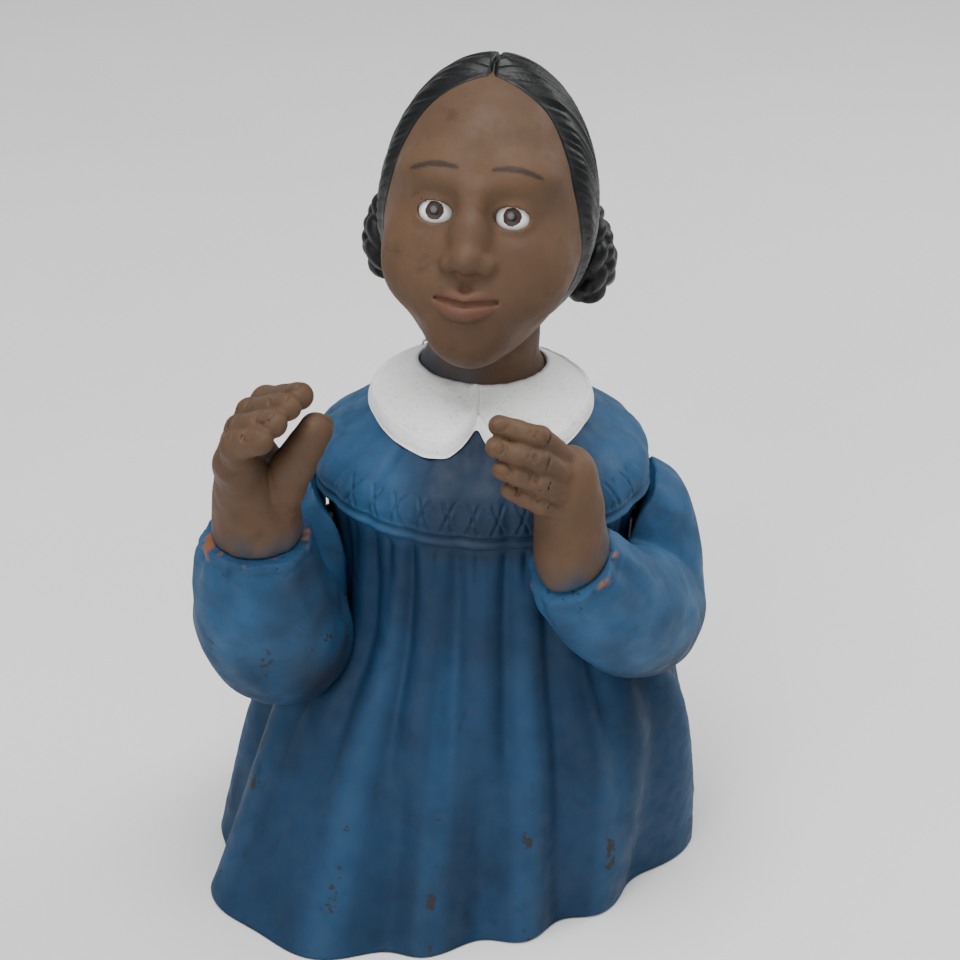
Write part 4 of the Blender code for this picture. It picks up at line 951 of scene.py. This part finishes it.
def head_skin():
    """Face and neck, down to the ball that turns inside the collar."""
    step = 0.45
    clay = Clay((-24, -32, -50), (24, 27, 35), step)
    x, y, z = clay.grid()
    clay.values = egg(x, y, z).astype(np.float32)
    foot, crown = to_head(((0, PIVOT[1], PIVOT[2]), (0, PIVOT[1], 141)))
    axis = unit(crown - foot)
    along = distance_along(foot, axis, x, y, z)
    off_squared = (x - foot[0]) ** 2 + (y - foot[1]) ** 2 + (z - foot[2]) ** 2 - along**2
    off = np.sqrt(np.maximum(off_squared, 0))
    # The throat swells a little above the collar and spreads under the jaw.
    swell = 0.25 * np.sin(np.clip((along - 6) / 18, 0, 1) * math.pi) + 1.6 * smoothstep(along, 17, 27) ** 2
    neck = np.maximum(off - NECK_RADIUS + 0.35 - swell, along - 27)
    clay.melt(..., neck, 3.0, False)
    clay.melt(..., np.sqrt(off_squared + along**2) - NECK_BALL + 0.15, 1.2, False)
    face_features(clay)
    clay.values = clay.values - 0.08 * ripple((x, y, z), 9, 61) * np.exp(-np.abs(clay.values))
    clay.values = np.maximum(clay.values, -along - 4.5)
    points, faces = clay.mesh()
    world = to_world(points)
    x, y, z = points.T
    low_neck = smoothstep(-world[:, 2], -124, -118)
    side_wear = smoothstep(x, 12, 17) * smoothstep(-y, 0, 8) * (0.5 + 0.5 * ripple(points.T, 6, 62))
    tint = 0.75 * smoothstep(-world[:, 2], -134, -120) * smoothstep(-world[:, 0], -4, 9)
    wear = np.clip(0.5 * low_neck * smoothstep(world[:, 0], 2, 9) + 0.5 * side_wear, 0, 1)
    ink, warm = painted_face(points)
    paint = {"wear": wear, "tint": tint, "rust": 0.4 * low_neck, "ink": 0.75 * ink, "warm": warm}
    made = make_mesh("face_and_neck", world, faces, SKIN, **paint)
    place(made, "head", "skin_brown", "face_shell", "neck_tube")


def hair():
    """Centre-parted hair, combed down and back to the buns."""
    clay = Clay((-26, -17, -36), (26, 29, 37), 0.34)
    x, y, z = clay.grid()
    hairline = -11.3 + 12.5 * smoothstep(-z, -10, 22) + 1.0 * ridge(x, 0, 3.0) * (z > 0)
    back = y - hairline
    combed = smoothstep(back, 0, 3.5)
    parting = ridge(x, 0, 0.5) * smoothstep(z, 2, 10)
    grow = 0.2 + 1.25 * combed - parting
    # Combed strands fan out from each bun.
    bun_place = to_head((HEAD_CENTRE + np.array((0, 11.0, -12.0)),))[0]
    turn = np.arctan2(z - bun_place[2], y - bun_place[1]) + 0.10 * np.abs(x) / 20
    away = np.hypot(z - bun_place[2], y - bun_place[1])
    locks = np.abs(np.sin(27 * turn + 1.3 * np.sin(9 * turn)))
    strands = 0.5 * locks**0.7 + 0.3 * np.abs(np.sin(64 * turn + np.sin(13 * turn)))
    strands = strands + 0.2 * np.abs(np.sin(121 * turn))
    grow = grow + 0.75 * (strands - 0.62) * smoothstep(away, 4, 26) * smoothstep(back, 0.2, 2)
    clay.values = np.maximum(egg(x, y, z) - grow, -back).astype(np.float32)
    clay.values = np.maximum(clay.values, -(egg(x, y, z) + 3.0))
    points, faces = clay.mesh()
    made = make_mesh("combed_hair", to_world(points), faces, HAIR)
    place(made, "head", "hair_black", "hair_shell")


def braid(clay, path, plaits, spread, radius):
    """Three strands plaited along a path of points."""
    path = np.array(path, float)
    tangent = np.gradient(path, axis=0)
    tangent /= np.linalg.norm(tangent, axis=1, keepdims=True)
    outward = np.tile((1.0, 0.0, 0.0), (len(path), 1))
    side = np.cross(tangent, outward)
    side /= np.linalg.norm(side, axis=1, keepdims=True)
    up = np.cross(side, tangent)
    turn = np.linspace(0, 2 * math.pi * plaits, len(path))
    for k in range(3):
        phase = turn + 2 * math.pi * k / 3
        spot = path + side * (spread * np.sin(phase))[:, None]
        spot = spot + up * (0.55 * spread * np.sin(2 * phase))[:, None]
        clay.strand(np.column_stack((spot, np.full(len(path), radius))), 0.35)


def bun(side, sign):
    """A braid coiled flat against the head, with its end tucked in the middle."""
    clay = Clay((-9, -13, -16), (10, 13, 16), 0.4)
    turns = np.linspace(0, 2 * math.pi * 1.75, 120)
    share = turns / turns[-1]
    wide = 1 - 0.72 * share
    path = np.column_stack((0.2 + 3.2 * share**1.5, 6.6 * wide * np.cos(turns), 9.2 * wide * np.sin(turns)))
    clay.ellipsoid((-1.5, 0, 0), (4.5, 7.6, 10.2), 1.0)
    braid(clay, path, 6.0, 1.9, 2.05)
    clay.ellipsoid((4.4, 0.2, 0.3), (2.4, 2.4, 2.8), 0.6)
    points, faces = clay.mesh()
    if sign < 0:
        points = points * np.array((-1, 1, 1))
        faces = faces[:, ::-1]
    yaw = np.array(Matrix.Rotation(math.radians(sign * 14), 3, "Z"))
    # The hair swells more on the right, so that bun stands a little further out and up.
    spot = (20.2, 11.0, -12.0) if sign > 0 else (-21.8, 8.5, -9.5)
    upright = points @ yaw.T + np.array(spot)
    turned = np.array(Matrix.Rotation(math.radians(HEAD_TURN), 3, "Z"))
    world = HEAD_CENTRE + upright @ turned.T
    made = make_mesh(f"{side}_braided_bun", world, faces, HAIR)
    place(made, "head", "hair_black", f"{side}_bun")


def eyes():
    """Turned balls with a painted iris and pupil."""
    material = enamel()
    for side, sign in (("left", 1), ("right", -1)):
        centre = to_world((sign * EYE[0], EYE[1], EYE[2]))
        rows, count = 48, 64
        polar = np.linspace(0, math.pi, rows + 1)[1:-1]
        around = np.linspace(0, 2 * math.pi, count, endpoint=False)
        # The pole faces the front, and the pupil is slightly sunk.
        sink = PUPIL_DEPTH * ridge(polar, 0, 0.22)
        ring = np.stack(
            (
                np.outer(np.sin(polar), np.cos(around)),
                -np.repeat(np.cos(polar)[:, None], count, 1),
                np.outer(np.sin(polar), np.sin(around)),
            ),
            axis=-1,
        )
        ball = ring * (EYE_RADIUS - sink)[:, None, None]
        points = np.vstack((ball.reshape(-1, 3), (0, -(EYE_RADIUS - PUPIL_DEPTH), 0), (0, EYE_RADIUS, 0)))
        index = np.arange((rows - 1) * count).reshape(rows - 1, count)
        shifted = np.roll(index, -1, 1)
        faces = woven(index[:-1], index[1:], shifted[:-1], shifted[1:]).tolist()
        front, rear = len(points) - 2, len(points) - 1
        faces += [(front, b, a) for a, b in zip(index[0], shifted[0])]
        faces += [(rear, a, b) for a, b in zip(index[-1], shifted[-1])]
        off_axis = np.hypot(points[:, 0], points[:, 2]) / EYE_RADIUS + (points[:, 1] > 0) * 1.0
        world = centre + points @ HEAD_ROTATION.T
        made = make_mesh(f"{side}_enamel_eye", world, faces, material, off_axis=off_axis)
        place(made, "eyes", "eye_white", f"{side}_eye")


# ---- Mechanism ----
def mechanism():
    """The CAD pieces that stay in view get worn metal."""
    looks = {"steel": STEEL, "brass": BRASS, "iron_black": CAST}
    slots = {part["node"]: part["material_slot"] for part in frame["record"]["subparts"]}
    for name, obj in frame["nodes"].items():
        if slots.get(name) in looks:
            obj.data.materials.clear()
            obj.data.materials.append(looks[slots[name]])
            obj.data.shade_smooth()
            obj.data.set_sharp_from_angle(angle=math.radians(30))


# ---- Studio ----
def studio():
    """A pale sweep with a curved back, three soft lights and a dim room."""
    s = Shader("pale sweep")
    cloth = s.ramp(s.noise(6, 2), 0.3, 0.7)
    colour = s.mix(cloth, (0.80, 0.795, 0.78), (0.83, 0.825, 0.81))
    s.finish(Base_Color=colour, Roughness=0.85)
    bend = [(0.0, -1.4), (0.0, 0.75)]
    radius, steps = 0.45, 14
    for i in range(1, steps + 1):
        a = math.pi / 2 * i / steps
        bend.append((radius - radius * math.cos(a), 0.75 + radius * math.sin(a)))
    bend.append((2.6, 1.2))
    points, faces = [], []
    for height, depth in bend:
        points += [(-2500, depth * 1000, height * 1000), (2500, depth * 1000, height * 1000)]
    for i in range(len(bend) - 1):
        faces.append((2 * i, 2 * i + 1, 2 * i + 3, 2 * i + 2))
    make_mesh("pale_sweep", points, faces, s.material)

    def area(name, place_m, size, power):
        """A round light that faces the figure's chest."""
        light = bpy.data.lights.new(name, "AREA")
        light.shape = "DISK"
        light.size, light.energy = size, power
        obj = bpy.data.objects.new(name, light)
        obj.location = place_m
        obj.rotation_euler = (Vector((0, 0, 0.1)) - Vector(place_m)).to_track_quat("-Z", "Y").to_euler()
        bpy.context.scene.collection.objects.link(obj)

    area("overhead", (-0.1, -0.25, 1.2), 0.8, 15.5)
    area("front", (-0.6, -1.0, 0.6), 0.7, 6.0)
    area("rim", (0.7, 0.3, 0.6), 0.5, 3.5)
    world = bpy.data.worlds.new("soft room")
    world.use_nodes = True
    world.node_tree.nodes["Background"].inputs["Color"].default_value = (0.92, 0.96, 1.0, 1)
    world.node_tree.nodes["Background"].inputs["Strength"].default_value = 0.38
    bpy.context.scene.world = world


def camera():
    """In front, slightly to the figure's right and looking down."""
    azimuth, pitch, roll = math.radians(-7), math.radians(26.6), math.radians(1.8)
    distance, height = 0.460, 0.322
    made = bpy.data.cameras.new("camera")
    made.lens, made.sensor_width = 86.25, 36
    made.clip_start, made.clip_end = 0.02, 20
    obj = bpy.data.objects.new("camera", made)
    obj.location = (distance * math.sin(azimuth), -distance * math.cos(azimuth), height)
    forward = Vector(
        (-math.sin(azimuth) * math.cos(pitch), math.cos(azimuth) * math.cos(pitch), -math.sin(pitch))
    )
    obj.rotation_mode = "QUATERNION"
    obj.rotation_quaternion = forward.to_track_quat("-Z", "Y") @ Quaternion((0, 0, 1), roll)
    bpy.context.scene.collection.objects.link(obj)
    bpy.context.scene.camera = obj


camera()
studio()
dress()
collar()
sleeve("left", LEFT_SLEEVE, 1.0)
sleeve("right", RIGHT_SLEEVE, 0.8)
hand("left", LEFT_SLEEVE, LEFT_PALM, LEFT_FINGERS, LEFT_NAILS)
hand("right", RIGHT_SLEEVE, RIGHT_PALM, RIGHT_FINGERS, RIGHT_NAILS)
head_skin()
hair()
bun("left", 1)
bun("right", -1)
eyes()
mechanism()
